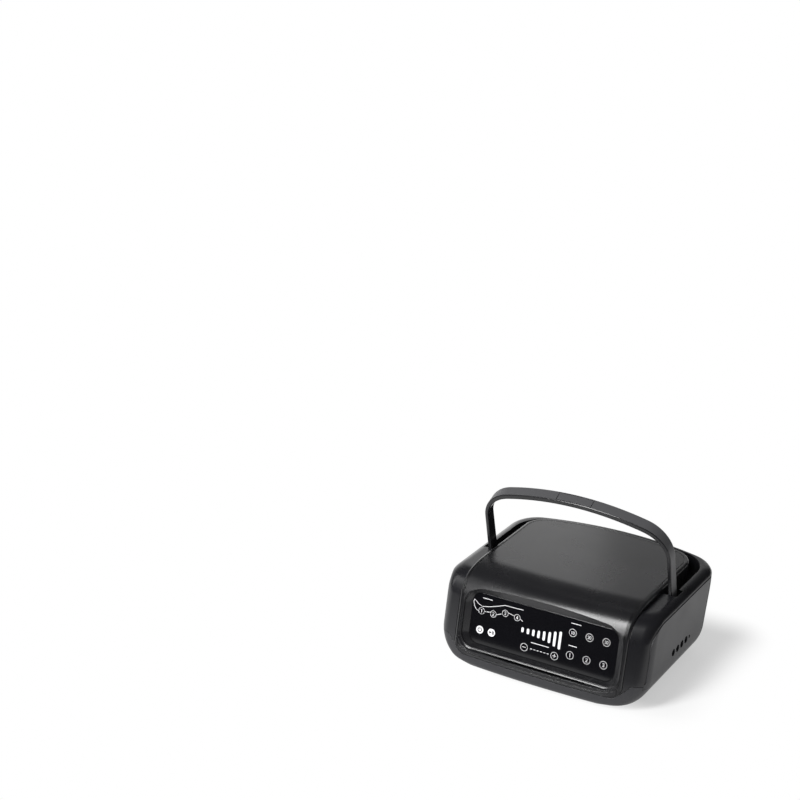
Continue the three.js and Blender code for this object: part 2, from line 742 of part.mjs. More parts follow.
const pivotRelief = mirrored((side) => block(
  [side * (coverHalfWidth - 2 * coamingInset), troughFront - fitGap, 0],
  [side * everywhere, pocketBack + troughWall + fitGap, cheekTop + fitGap]));
let cover = coverForm(0).subtract(coverForm(coverWall, 1 / 2));
cover = cover.subtract(extrude(behindFascia, -everywhere, everywhere, sideView));
cover = union(cover, rimTub.intersect(coverForm(0)));
cover = cover.intersect(extrude(coverFootShape(0), -everywhere, everywhere, rearView, 5));
cover = cut(cover, recess, window, ...pivotRelief);
const glass = loft([glassRing(-glassThickness, 0), glassRing(0, 0)]);

// Handle: a bail as wide as the channel, slim in the arms and deeper over the top
const handleHalf = channelHalfWidth - handleClearance;
const handleReach = channelRear - handleClearance - pivotY;
const handleBow = channelBow - handleClearance;
const armSteps = 3;
const cornerSteps = 6;
function bowLine(inset) {
  const half = handleHalf - inset;
  const top = handleReach - inset;
  const bow = handleBow - inset;
  const corner = handleCorner - inset;
  const turn = Math.asin((half - corner) / (bow - corner));
  const cz = top - bow + (bow - corner) * cos(turn);
  const arm = Array.from({ length: armSteps }, (_, i) => cz * i / armSteps);
  return [
    ...arm.map((z) => [half, z]),
    ...arc(half - corner, cz, corner, 0, quarter - turn, cornerSteps),
    ...arc(0, top - bow, bow, quarter - turn, quarter + turn, 9).slice(1, -1),
    ...arc(-half + corner, cz, corner, quarter + turn, 2 * quarter, cornerSteps),
    ...arm.reverse().map((z) => [-half, z]),
  ];
}
const mix = (a, b, share) => a + (b - a) * share;
const towards = (from, to, length) => {
  const share = length / Math.hypot(to[0] - from[0], to[1] - from[1]);
  return [mix(from[0], to[0], share), mix(from[1], to[1], share)];
};

// A band between two lines of stations in the handle's plane, with its long edges eased
function band(outer, inner, depthAt, edge, steps = 2) {
  return loft(outer.map(([ox, oz], i) => {
    const [ix, iz] = inner[i];
    const thick = Math.hypot(ox - ix, oz - iz);
    const d = depthAt(i) / 2;
    const r = min(edge, thick / 4, d / 3);
    const section = [
      ...arc(r, -d + r, r, -2 * quarter, -quarter, steps), ...arc(thick - r, -d + r, r, -quarter, 0, steps),
      ...arc(thick - r, d - r, r, 0, quarter, steps), ...arc(r, d - r, r, quarter, 2 * quarter, steps),
    ];
    return section.map(([t, y]) => new THREE.Vector3(mix(ox, ix, t / thick), y, mix(oz, iz, t / thick)));
  }));
}
const outerLine = bowLine(0);
const lastStation = outerLine.length - 1;
const fromFoot = (i) => min(i, lastStation - i);
const barShare = (i) => THREE.MathUtils.smoothstep(fromFoot(i), armSteps, armSteps + cornerSteps);
const armLine = bowLine(handleArm);
const barLine = bowLine(handleBar);
const innerLine = armLine.map(([x, z], i) => [
  mix(x, barLine[i][0], barShare(i)), mix(z, barLine[i][1], barShare(i)),
]);
const handleDepthAt = (i) => mix(handleFootDepth, handleDepth, min(1, fromFoot(i) / armSteps));
const linerSpan = outerLine.map((_, i) => i).filter((i) => Math.abs(outerLine[i][0]) < linerHalfSpan);
function linerBand(grow, below) {
  const top = linerSpan.map((i) => towards(innerLine[i], outerLine[i], linerThickness + grow));
  const foot = linerSpan.map((i) => towards(innerLine[i], outerLine[i], -below));
  return band(top, foot, () => handleDepth - 2 * linerMargin + 2 * grow, handleEdge / 2, 1);
}
const inlaySeat = handleReach - handleBow + chord(handleBow, inlayHalfWidth) - inlayThickness;
const inlayBlock = (grow) => block(
  [-inlayHalfWidth - grow, -inlayDepth / 2 - grow, inlaySeat - grow],
  [inlayHalfWidth + grow, inlayDepth / 2 + grow, handleReach + overrun]);
const fullBand = band(outerLine, innerLine, handleDepthAt, handleEdge);
const hubX = (pocketInner + pocketOuter) / 2;
const hubs = mirrored((side) => bar(hubRadius,
  [side * (hubX - hubLength / 2), 0, 0], [side * (hubX + hubLength / 2), 0, 0], 20));
const hubBores = mirrored((side) => bar(pinRadius + fitGap / 2,
  [side * (hubX - hubLength), 0, 0], [side * (hubX + hubLength), 0, 0]));
const bail = cut(union(fullBand, ...hubs), linerBand(fitGap, overrun / 4), inlayBlock(fitGap), ...hubBores);
const inlay = inlayBlock(0).intersect(fullBand);

// Pivot pins and friction washers
const pins = mirrored((side) => bar(pinRadius,
  [side * (pocketInner - pinBite + fitGap), pivotY, pivotZ],
  [side * (pocketOuter + pinBite - fitGap), pivotY, pivotZ]));
const washer = (x) => cut(
  bar(washerRadius,
    [x - washerThickness / 2, pivotY, pivotZ], [x + washerThickness / 2, pivotY, pivotZ], 16),
  bar(pinRadius + fitGap, [x - overrun, pivotY, pivotZ], [x + overrun, pivotY, pivotZ], 12));
const washerX = (hubX - hubLength / 2 + pocketInner) / 2;
const washerOuterX = (hubX + hubLength / 2 + pocketOuter) / 2;

// Feet and screws
const footHeight = footDrop + footRecess - fitGap;
const footBody = ([x, y]) => turned([
  [0, 0], [footRadius - footDrop / 2, 0], [footRadius, footDrop / 2],
  [footRadius, footHeight], [0, footHeight],
], [x, y, 0], [0, 0, 1], 16);
const screwCrownShare = 0.65;
const screw = ([x, y]) => turned([
  [0, 0], [screwHeadRadius * screwCrownShare, 0], [screwHeadRadius, screwHeadHeight * screwCrownShare],
  [screwHeadRadius, screwHeadHeight], [screwShankRadius, screwHeadHeight],
  [screwShankRadius, screwLength], [0, screwLength],
], [x, y, headZ - screwHeadHeight - fitGap], [0, 0, 1], 10);

// Diaphragm air pump on a sprung tray, its shaft along the machine's width
const mountWaist = mountRadius * mountWaistShare;
const mountNeck = mountFlange + (mountRadius - mountWaist) / 2;
const mountBody = ([x, y]) => turned([
  [0, 0], [mountRadius, 0], [mountRadius, mountFlange], [mountWaist, mountNeck],
  [mountWaist, mountHeight - mountNeck], [mountRadius, mountHeight - mountFlange],
  [mountRadius, mountHeight], [0, mountHeight],
], [x, y, floorZ + fitGap], [0, 0, 1], 10);
const trayZ = floorZ + mountHeight + 2 * fitGap;
const trayTop = trayZ + trayThickness;
const shaftZ = trayTop + fitGap + crankHalf;
const trayX0 = pumpX - crankLength - trayMargin;
const trayX1 = pumpX + motorLength;
const trayY0 = pumpY - crankHalf - trayMargin;
const trayY1 = pumpY + crankHalf + trayMargin;
const mountPlaces = [trayX0, trayX1].flatMap((x) => [trayY0, trayY1].map((y) => [
  x + Math.sign(pumpX - x) * mountRadius, y + Math.sign(pumpY - y) * mountRadius]));
const cradle = (x) => cut(
  block([x, pumpY - motorRadius, trayZ], [x + trayThickness, pumpY + motorRadius, shaftZ - motorRadius / 2]),
  bar(motorRadius + fitGap, [x - overrun, pumpY, shaftZ], [x + overrun, pumpY, shaftZ], 20));
const tray = union(
  block([trayX0, trayY0, trayZ], [trayX1, trayY1, trayTop]),
  block([trayX0, trayY0, trayZ], [trayX1, trayY0 + trayThickness, trayTop + trayLip]),
  block([trayX0, trayY1 - trayThickness, trayZ], [trayX1, trayY1, trayTop + trayLip]),
  cradle(pumpX + motorLength / 3), cradle(pumpX + motorLength - 3 * trayThickness));
const shaftAt = (x) => [x, pumpY, shaftZ];
const motor = cut(
  turned([
    [0, 0], [motorRadius - motorEdge, 0], [motorRadius, motorEdge], [motorRadius, motorLength - motorEdge],
    [motorRadius - motorEdge, motorLength], [motorNose, motorLength], [motorNose, motorLength + motorEdge],
    [0, motorLength + motorEdge],
  ], shaftAt(pumpX + fitGap), [1, 0, 0], 16),
  bar(shaftRadius + fitGap, shaftAt(pumpX - overrun), shaftAt(pumpX + motorLength + overrun)));
const crankX0 = pumpX - crankLength;
const crankMid = pumpX - crankLength / 2;
const crankTop = shaftZ + crankHalf;
const crankcase = cut(
  block([crankX0, pumpY - crankHalf, trayTop + fitGap], [pumpX, pumpY + crankHalf, crankTop]),
  block([crankX0 + crankWall, pumpY - crankHalf - overrun, trayTop + crankWall],
    [pumpX - crankWall, pumpY + crankHalf - crankWall, crankTop - 2 * crankWall]),
  bar(membraneRadius - crankWall, [crankMid, pumpY, shaftZ], [crankMid, pumpY, everywhere], 12),
  bar(shaftRadius + fitGap, shaftAt(crankX0 - overrun), shaftAt(pumpX + overrun)));
const fanX = pumpX + motorLength + motorEdge + fanGap;
const blade = (i) => {
  const geometry = new THREE.BoxGeometry(fanLength * bladeShare, fanRadius, bladeThickness);
  geometry.translate(0, fanRadius / 2, 0);
  geometry.rotateY(bladeTwist);
  geometry.rotateX(2 * Math.PI * i / fanBlades);
  geometry.translate(fanX + fanLength / 2, pumpY, shaftZ);
  return solid(geometry);
};
const rotor = union(
  bar(shaftRadius, shaftAt(crankX0 - shaftRadius), shaftAt(fanX + fanLength + shaftRadius)),
  bar(eccentricRadius, [crankMid - eccentricWidth / 2, pumpY, shaftZ + eccentricThrow],
    [crankMid + eccentricWidth / 2, pumpY, shaftZ + eccentricThrow], 20),
  bar(fanRadius / 3, shaftAt(fanX), shaftAt(fanX + fanLength)),
  ...Array.from({ length: fanBlades }, (_, i) => blade(i)));
const stemFoot = eccentricThrow + eccentricRadius + fanGap - crankHalf;
const membrane = turned([
  [0, stemFoot], [stemRadius, stemFoot], [stemRadius, -crankWall], [membraneRadius / 2, fitGap],
  [membraneRadius, fitGap], [membraneRadius, fitGap + membraneThickness], [0, fitGap + membraneThickness],
], [crankMid, pumpY, crankTop], [0, 0, 1], 16);
const headZ0 = crankTop + 2 * fitGap + membraneThickness;
const nippleZ = headZ0 + headHeight - 2 * nippleRadius;
const head = cut(union(
  turned([
    [0, 0], [headRadius, 0], [headRadius, headHeight - motorEdge], [headRadius - motorEdge, headHeight],
    [nippleRadius * 2, headHeight], [nippleRadius * 2, headHeight + motorEdge], [0, headHeight + motorEdge],
  ], [crankMid, pumpY, headZ0], [0, 0, 1], 16),
  bar(nippleRadius, [crankMid, pumpY, nippleZ], [crankMid, pumpY - headRadius - nippleLength, nippleZ])),
  turned([[0, 0], [headRadius - crankWall, 0], [0, headHeight / 3]],
    [crankMid, pumpY, headZ0], [0, 0, 1], 12));
const silencer = turned([
  [0, 0], [silencerRadius, 0], ...Array.from({ length: silencerRibs }, (_, i) => {
    const z = silencerHeight * (i + 1) / (silencerRibs + 1);
    return [[silencerRadius, z - ribWidth], [silencerRadius - ribWidth, z], [silencerRadius, z + ribWidth]];
  }).flat(), [silencerRadius, silencerHeight], [0, silencerHeight],
], [crankMid, pumpY, headZ0 + headHeight + motorEdge + fitGap], [0, 0, 1], 12);

// Manifold with one sprung valve for each chamber
const manifoldTop = floorZ + fitGap + manifoldHeight;
const valveX = (i) => (i - (portCount - 1) / 2) * valvePitch;
const manifoldX0 = valveX(0) - valvePitch / 2 - inletShoulder;
const manifoldX1 = valveX(portCount - 1) + valvePitch / 2;
const inletX = manifoldX0 + inletShoulder / 2;
const coilZ = manifoldTop + fitGap;
const manifold = cut(union(
  block([manifoldX0, manifoldY - manifoldDepth / 2, floorZ + fitGap],
    [manifoldX1, manifoldY + manifoldDepth / 2, manifoldTop]),
  bar(nippleRadius,
    [inletX, manifoldY, manifoldTop - nippleRadius], [inletX, manifoldY, manifoldTop + nippleLength])),
  block([manifoldX0 + inletShoulder, -everywhere, 0],
    [manifoldX1 - manifoldFootLength, everywhere, floorZ + manifoldFootHeight]));
const coil = (i) => cut(
  block([valveX(i) - coilHalf, manifoldY - coilHalf, coilZ],
    [valveX(i) + coilHalf, manifoldY + coilHalf, coilZ + coilHeight]),
  bar(plungerRadius + fitGap, [valveX(i), manifoldY, 0],
    [valveX(i), manifoldY, coilZ + plungerLength + plungerStroke + fitGap], 14));
const plunger = (i) => turned([
  [0, 0], [plungerRadius - plungerStroke, 0], [plungerRadius, plungerStroke],
  [plungerRadius, plungerLength], [0, plungerLength],
], [valveX(i), manifoldY, coilZ], [0, 0, 1], 14);

// Air hoses: one round tube from the pump head, a ribbon of four lumens to each side
class SmoothRoute extends THREE.CatmullRomCurve3 {
  constructor(points) {
    super(points.map((p) => new THREE.Vector3(...p)), false, "centripetal");
  }
}
const tubeStart = pumpY - headRadius - nippleLength - fitGap;
const tubeFoot = manifoldTop + nippleLength + fitGap;
const tubeRoute = new SmoothRoute([
  [crankMid, tubeStart, nippleZ], [crankMid, tubeStart - tubeRun, nippleZ],
  [mix(crankMid, inletX, 1 / 2), manifoldY + tubeRun / 3, nippleZ - tubeRun / 4],
  [inletX, manifoldY, mix(nippleZ, tubeFoot, 1 / 2)], [inletX, manifoldY, tubeFoot],
]);
function sweep(curve, steps, ringAt) {
  const shares = Array.from({ length: steps + 1 }, (_, i) => i / steps);
  return loft(shares.map((share) => ringAt(curve.getPointAt(share), curve.getTangentAt(share), share)));
}
const pumpTube = sweep(tubeRoute, 12, (p, t, share) => {
  const up = new THREE.Vector3(cos(quarter * share), 0, sin(quarter * share)).cross(t).normalize();
  const side = t.clone().cross(up);
  return arc(0, 0, tubeRadius, 0, 4 * quarter, 8).slice(0, -1).map(([a, b]) => p.clone()
    .addScaledVector(up, a).addScaledVector(side, b));
});
const portBlockInner = portBlockFace - portBlockDepth;
const portMidY = (portY(0) + portY(portCount - 1)) / 2;
const ribbonZ = floorZ + manifoldHeight / 2;
const ribbon = (side) => {
  const start = side > 0 ? manifoldX1 + fitGap : -manifoldX0 + fitGap;
  const run = (portBlockInner - fitGap - start) / 3;
  const route = new SmoothRoute([
    [side * start, manifoldY, ribbonZ], [side * (start + run / 2), manifoldY, ribbonZ],
    [side * (start + 3 * run / 2), mix(manifoldY, portMidY, 1 / 2), mix(ribbonZ, portHeight, 1 / 2)],
    [side * (portBlockInner - fitGap - run / 2), portMidY, portHeight],
    [side * (portBlockInner - fitGap), portMidY, portHeight],
  ]);
  const lumens = Array.from({ length: portCount }, (_, k) => (k - (portCount - 1) / 2) * 2 * tubeRadius);
  const upper = lumens.flatMap((y) => arc(y, 0, tubeRadius, 5 * quarter / 3, quarter / 3, 2));
  const lower = [...lumens].reverse()
    .flatMap((y) => arc(y, 0, tubeRadius, -quarter / 3, -5 * quarter / 3, 2));
  return sweep(route, 5, (p, t, share) => {
    const ends = share === 0 || share === 1;
    const square = new THREE.Vector3(-t.z, 0, t.x).normalize().multiplyScalar(side);
    const across = ends ? new THREE.Vector3(0, 0, 1) : square;
    return [...upper, ...lower].map(([y, h]) => p.clone()
      .addScaledVector(across, h).add(new THREE.Vector3(0, y, 0)));
  });
};
const portBlock = (side) => cut(
  block([side * portBlockInner, portBlockFront, portHeight - portBlockHeight / 2],
    [side * portBlockFace, portBlockRear, portHeight + portBlockHeight / 2]),
  portHoles(side, portBlockFace - portSocketDepth, portBlockFace + overrun, 0),
  ...Array.from({ length: portCount }, (_, i) => bar(barbBore / 2,
    [side * (portBlockInner - overrun), portY(i), portHeight], [side * innerX, portY(i), portHeight], 8)));

// Electrics: main board on four standoffs, display board behind the glass, flat cable between
const boardZ = floorZ + standoffHeight + fitGap;
const boardTop = boardZ + boardThickness;
const boardX = (share) => boardX0 + boardLength * share;
const boardY = (share) => boardY0 + boardDepth * share;
const boardRoot = boardTop - boardThickness / 2;
const component = ([x, y, wide, deep, high]) => block(
  [boardX(x - wide / 2), boardY(y - deep / 2), boardRoot],
  [boardX(x + wide / 2), boardY(y + deep / 2), boardTop + high * transformerHeight]);
const capacitor = ([x, y, radius, high]) => bar(radius * boardDepth,
  [boardX(x), boardY(y), boardRoot], [boardX(x), boardY(y), boardTop + high * transformerHeight], 14);
const heatSink = (i) => block(
  [boardX(heatSinkShare) + i * heatSinkPitch, boardY(1 / 4), boardRoot],
  [boardX(heatSinkShare) + i * heatSinkPitch + boardThickness, boardY(3 / 4), boardTop + transformerHeight]);
const mainBoard = union(
  block([boardX0, boardY0, boardZ], [boardX0 + boardLength, boardY0 + boardDepth, boardTop]),
  ...partShares.map(component), ...capacitorShares.map(capacitor),
  ...Array.from({ length: heatSinkFins }, (_, i) => heatSink(i)));
const standoffPlaces = [0, 1].flatMap((a) => [0, 1].map((b) => [
  boardX0 + standoffRadius + a * (boardLength - 2 * standoffRadius),
  boardY0 + standoffRadius + b * (boardDepth - 2 * standoffRadius)]));
const coreX = boardX(transformerShare);
const coreY = boardY(1 / 2);
const windingHalf = transformerDepth / 2 + windingBulge;
const transformer = union(
  block([coreX - transformerLength / 2, coreY - transformerDepth / 2, boardTop + fitGap],
    [coreX + transformerLength / 2, coreY + transformerDepth / 2, boardTop + transformerHeight]),
  block([coreX - transformerLength / 4, coreY - windingHalf, boardTop + windingBulge],
    [coreX + transformerLength / 4, coreY + windingHalf, boardTop + transformerHeight - windingBulge]));
const boardBack = seatBack - glassSeat - fitGap;
const lampBlock = (x, s, wide, high) => loft([-1, 1].map((end) => {
  const n = end < 0 ? boardBack - boardThickness / 2 : boardBack + lampHeight;
  return [[-1, -1], [1, -1], [1, 1], [-1, 1]].map(([a, b]) => glassPoint(
    glassHalfWidth * (x + a * wide / 2), glassHeight * (s + b * high / 2), n));
}));
const displayBoard = union(
  loft([glassRing(boardBack - boardThickness, -boardMargin), glassRing(boardBack, -boardMargin)]),
  ...lampShares.map(([x, s, wide, high]) => lampBlock(x, s, wide, high)));
const cableStart = glassPoint(0, cableRise, boardBack - boardThickness - fitGap - cableThickness / 2);
const cableFloor = floorZ + fitGap + cableThickness / 2;
const cableRoute = [
  [cableStart.y, cableStart.z], [cableStart.y + cableBend / 2, cableStart.z - cableBend],
  [cableStart.y + 2 * cableBend, cableFloor], [boardY0 - cableBend, cableFloor],
  [boardY0 - cableBend / 2, cableFloor + cableBend / 3],
];
const ribbonFlat = (route, thickness) => {
  const offset = (sign) => route.map(([y, z], i) => {
    const [ay, az] = route[max(i - 1, 0)];
    const [by, bz] = route[min(i + 1, route.length - 1)];
    const length = Math.hypot(by - ay, bz - az);
    return [y - sign * (bz - az) / length * thickness / 2, z + sign * (by - ay) / length * thickness / 2];
  });
  return shapeOf([...offset(1), ...offset(-1).reverse()]);
};
const displayCable = extrude(
  ribbonFlat(cableRoute, cableThickness), cableX - cableWidth / 2, cableX + cableWidth / 2, sideView);

// Mains inlet square to the raked rear face, with two pins in its mouth
const inletY = rearAt(inletZ, 0);
const inletPlace = new THREE.Matrix4().makeTranslation(0, inletY, inletZ)
  .multiply(new THREE.Matrix4().makeRotationX(-rearRake));
const moved = (body, matrix) => solid(geometryOf(body).applyMatrix4(matrix));
function lobes(grow, round) {
  const r = inletHeight / 2 + grow - round;
  const reach = inletWidth / 2 - inletHeight / 2;
  return shapeOf([...arc(reach, 0, r, -quarter, quarter, 4), ...arc(-reach, 0, r, quarter, 3 * quarter, 4)]);
}
const inletBody = cut(
  union(extrude(lobes(0, 0), -inletDepth, inletLip / 2, rearView),
    extrude(lobes(inletFlange, 0), fitGap, inletLip, rearView)),
  extrude(lobes(-inletWall, 0), -inletDepth + inletWall, overrun, rearView),
  ...mirrored((side) => bar(inletPin + fitGap,
    [side * inletPitch, -inletDepth - overrun, 0], [side * inletPitch, 0, 0])));
const inlet = moved(inletBody, inletPlace);
const inletPins = mirrored((side) => moved(bar(inletPin,
  [side * inletPitch, -inletDepth - inletTail, 0], [side * inletPitch, -inletMouth, 0], 12), inletPlace));
const inletHole = extrude(lobes(fitGap, 0), -everywhere / 4, overrun, rearView);
outerShell = outerShell.subtract(moved(inletHole, inletPlace));

// Base shell details that follow the inner pieces
const standoffs = standoffPlaces.map(([x, y]) => bar(
  standoffRadius, [x, y, floorZ - fitGap], [x, y, floorZ + standoffHeight]));
const intakeSlots = Array.from({ length: slotRows * slotColumns }, (_, i) => {
  const x = (i % slotColumns - (slotColumns - 1) / 2) * slotPitch;
  const y = slotMidY + (Math.floor(i / slotColumns) - (slotRows - 1) / 2) * slotRowPitch;
  return block([x - slotWidth / 2, y - slotLength / 2, -overrun],
    [x + slotWidth / 2, y + slotLength / 2, floorZ + overrun / 10]);
});
baseShell = cut(union(baseShell, ...standoffs), ...intakeSlots);

// Assembly
const machine = new THREE.Group();
const handle = new THREE.Group();
handle.position.set(0, pivotY, pivotZ);
handle.rotation.x = handleLean;
machine.add(handle);
function add(name, body, look, holder = machine) {
  const mesh = new THREE.Mesh(geometryOf(body), new THREE.MeshStandardMaterial(look));
  mesh.name = name;
  holder.add(mesh);
}
const sides = ["left", "right"];
const corners = ["front_left", "front_right", "rear_left", "rear_right"];
const numbers = ["1", "2", "3", "4"];
add("outer_shell", outerShell, satinBlack);
add("handle_channel", handleChannel, satinBlack);
add("base_shell", baseShell, coverBlack);
add("top_cover", cover, coverBlack);
add("touch_panel", glass, glossBlack);
sides.forEach((side, i) => add(`side_panel_${side}`, panels[i], panelBlack));
add("handle_bail", bail, handleBlack, handle);
add("handle_liner", linerBand(0, 0), handleBlack, handle);
add("handle_inlay", inlay, satinBlack, handle);
sides.forEach((side, i) => {
  const sign = 2 * i - 1;
  add(`pivot_pin_${side}`, pins[i], steel);
  add(`washer_inner_${side}`, washer(sign * washerX), nylonWhite);
  add(`washer_outer_${side}`, washer(sign * washerOuterX), nylonWhite);
  add(`port_block_${side}`, portBlock(sign), nylonWhite);
  add(`hose_ribbon_${side}`, ribbon(sign), hoseClear);
  add(`inlet_pin_${side}`, inletPins[i], brass);
});
corners.forEach((corner, i) => {
  add(`foot_${corner}`, footBody(feet[i]), rubberBlack);
  add(`screw_${corner}`, screw(posts[i]), zinc);
  add(`pump_mount_${corner}`, mountBody(mountPlaces[[0, 2, 1, 3][i]]), rubberBlack);
});
add("pump_tray", tray, zinc);
add("pump_motor", motor, steel);
add("pump_crankcase", crankcase, zinc);
add("pump_rotor", rotor, brass);
add("pump_membrane", membrane, rubberBlack);
add("pump_head", head, panelBlack);
add("pump_silencer", silencer, foamGrey);
add("pump_tube", pumpTube, hoseClear);
add("valve_manifold", manifold, nylonWhite);
numbers.slice(0, portCount).forEach((number, i) => {
  add(`valve_coil_${number}`, coil(i), copper);
  add(`valve_plunger_${number}`, plunger(i), steel);
});
add("main_board", mainBoard, boardGreen);
add("transformer", transformer, copper);
add("display_board", displayBoard, boardGreen);
add("display_cable", displayCable, nylonWhite);
add("mains_inlet", inlet, satinBlack);

export default machine;
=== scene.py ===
"""Compression therapy pump: the dressed model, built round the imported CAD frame."""

import json
import math

import bmesh
import bpy
from mathutils import Matrix, Vector


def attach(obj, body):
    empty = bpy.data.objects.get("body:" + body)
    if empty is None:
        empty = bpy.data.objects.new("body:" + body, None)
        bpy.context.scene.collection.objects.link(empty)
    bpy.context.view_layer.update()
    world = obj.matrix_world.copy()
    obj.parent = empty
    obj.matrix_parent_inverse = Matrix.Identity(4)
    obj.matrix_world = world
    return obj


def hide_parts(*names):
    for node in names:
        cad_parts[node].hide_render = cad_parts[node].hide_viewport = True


bl_info = {
    "name": "Therapy Pump Builder",
    "version": (1, 0, 0),
    "blender": (4, 5, 0),
    "location": "View3D > Sidebar > Pump",
    "description": "Builds a table-top air pump box with its folding handle",
    "category": "Add Mesh",
}

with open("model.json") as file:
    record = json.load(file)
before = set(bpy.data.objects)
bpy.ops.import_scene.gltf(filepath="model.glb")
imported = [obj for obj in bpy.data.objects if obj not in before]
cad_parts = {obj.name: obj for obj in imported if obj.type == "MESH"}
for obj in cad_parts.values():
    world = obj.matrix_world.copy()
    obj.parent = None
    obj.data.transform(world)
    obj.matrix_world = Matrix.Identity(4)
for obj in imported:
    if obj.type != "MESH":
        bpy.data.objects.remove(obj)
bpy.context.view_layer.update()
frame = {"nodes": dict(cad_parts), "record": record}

# Sizes are in millimetres and angles in radians; a mesh is turned to metres when it is made
MM = 0.001
QUARTER = math.pi / 2
FAR = 600

# Housing, as in the CAD model
HALF_WIDTH = 127
REAR_Y = 113.2
CHIN_Y = -113.2
RIM_HEIGHT = 99
COVER_HEIGHT = 105.5
FOOT_DROP = 2
FRONT_RAKE = math.radians(13)
REAR_RAKE = math.radians(18)
FRONT_BOW = 1200
REAR_BOW = 330
FRONT_CORNER = 20
REAR_CORNER = 30
TOP_FRONT_BEND = 31
CHIN_BEND = 5
REAR_TOP_BEND = 80
REAR_TOP_EDGE = 2.5
REAR_FOOT_BEND = 14
SIDE_FOOT_BEND = 34
SHOULDER_HEIGHT = 93
SHOULDER_BEND = 13
SEAM_HEIGHT = 30
SEAM_GAP = 0.4
SEAM_LINE = 0.6
FIT_GAP = 0.3
WALL = 3
FLOOR_Z = FOOT_DROP + WALL
SEAM_TURN = 114
SEAM_BACK = CHIN_Y + 30
SEAM_LAP = 10
PANEL_THICK = 3
INNER_X = HALF_WIDTH - WALL - PANEL_THICK - FIT_GAP

# Side panels, with the sunk strip along their edge
PANEL_FOOT = 26.5
PANEL_FRONT_GAP = 14
PANEL_REAR_GAP = 42
PANEL_TOP_CORNER = 27
PANEL_REAR_CORNER = 12
STRIP_DEPTH = 0.8
STRIP_FOOT = 33
SIDE_REACH = INNER_X - 20

# Lid and its channel
LID_HALF = 102.7
LID_REAR = REAR_Y - 17
LID_CORNER = 31
LID_FOOT = 14
LID_WALL = 2.6
LID_EDGE = 2
LIP_INSET = 4.6
LIP_RISE = 3.1
LIP_DEPTH = 0.8
FOOT_LINE = 0.9
LID_ROUND = 3
LID_STEP = 0.15
COAMING_INSET = LID_WALL + FIT_GAP
COAMING_DROP = 5
FASCIA_DEPTH = 16
CHANNEL_HALF = 115.2
CHANNEL_REAR = REAR_Y - 4.8
CHANNEL_CORNER = 41
CHANNEL_BOW = REAR_BOW + 17 - 4.8
CHANNEL_FLOOR = 78
TROUGH_WALL = 2.3
# Behind this line and under the channel, the lid's opening leaves the rear wall whole
REAR_KEPT = 60

# Handle
PIVOT_Y = -0.5
PIVOT_Z = 87
HANDLE_LEAN = math.radians(12)
HANDLE_CLEAR = 1
HANDLE_CORNER = 40
HANDLE_ARM = 4.6
HANDLE_BAR = 8.6
HANDLE_DEPTH = 13
HANDLE_FOOT_DEPTH = 14
HANDLE_EDGE = 1.2
HANDLE_SLOPE = math.tan(math.radians(12))
ARM_STEPS = 10
CORNER_STEPS = 24
BAR_STEPS = 36
HUB_RADIUS = 7
HUB_X = 111.7
HUB_LENGTH = 11
PIN_RADIUS = 2.5
PIN_BITE = 2.2
LINER_THICK = 2.4
LINER_END = 27.2
LINER_SIDE = 1.8
LINER_EDGE = 0.8
INLAY_HALF = 21
INLAY_THICK = 1.2
INLAY_DEPTH = 4.8
INLAY_SHRINK = 0.4
INLAY_OPEN = 20

# Pivot pockets
POCKET_INNER = 103.6
POCKET_OUTER = 119.8
POCKET_CAP = 4.5
POCKET_BACK = PIVOT_Y + HUB_RADIUS + 0.8
POCKET_FRONT = (PIVOT_Y - HANDLE_FOOT_DEPTH / 2 / math.cos(HANDLE_LEAN)
                - (RIM_HEIGHT - PIVOT_Z) * math.tan(HANDLE_LEAN) - FIT_GAP)

# Touch panel, in a plane raked nearly like the front, and the rim round it
GLASS_HALF = 89
GLASS_FOOT_Z = 25.3
GLASS_HEAD = 22.5
GLASS_SUNK = 11.6
GLASS_RAKE = math.radians(12)
GLASS_HEIGHT = (COVER_HEIGHT - GLASS_HEAD - GLASS_FOOT_Z) / math.cos(GLASS_RAKE)
GLASS_CORNER = 12
GLASS_THICK = 3
GLASS_LEDGE = 5
GLASS_EDGE = 0.3
RIM_SIDE = 6.5
RIM_FOOT = 3
RIM_TOP = 6
RIM_CROWN = 3.5
RIM_FOOT_CORNER = 15
RIM_TOP_CORNER = 22
RIM_MOUTH = 5
RIM_CREST = 7
RIM_ROLL = 4
ROLL_STEPS = 14
RIM_WALL = 2.4
GLASS_UP = Vector((0, math.sin(GLASS_RAKE), math.cos(GLASS_RAKE)))
GLASS_OUT = Vector((0, -math.cos(GLASS_RAKE), math.sin(GLASS_RAKE)))

# Hose sockets
PORT_Y = [-27 + 11.4 * i for i in range(4)]
PORT_Z = 41
PORT_BORE = 8.3
KEY_Y = PORT_Y[3] + 9.2
KEY_BORE = 4
SOCKET_DEPTH = 14
AIR_WAY = 3
BLOCK_DEPTH = 17
BLOCK_FACE = HALF_WIDTH - PANEL_THICK - FIT_GAP
BLOCK_HEIGHT = 9.6
BLOCK_MARGIN = 6
BORE_OVERRUN = 5

# Feet, screw posts and intake slots
FOOT_RADIUS = 10
FOOT_RECESS = 2
FEET = [(x, y) for x in (-HALF_WIDTH + 49, HALF_WIDTH - 49) for y in (CHIN_Y + 35.2, REAR_Y - 55.2)]
POST_RADIUS = 5.5
POSTS = [(x, y) for x in (-HALF_WIDTH + 21, HALF_WIDTH - 21) for y in (CHIN_Y + 43.2, REAR_Y - 51.2)]
SCREW_HEAD = 3.7
SCREW_SHANK = 1.65
SCREW_HEAD_TOP = 18
SLOT_WIDTH = 3
SLOT_LENGTH = 24
SLOTS = [(x, y) for x in (-27, -18, -9, 0, 9, 18, 27) for y in (-8, 24)]

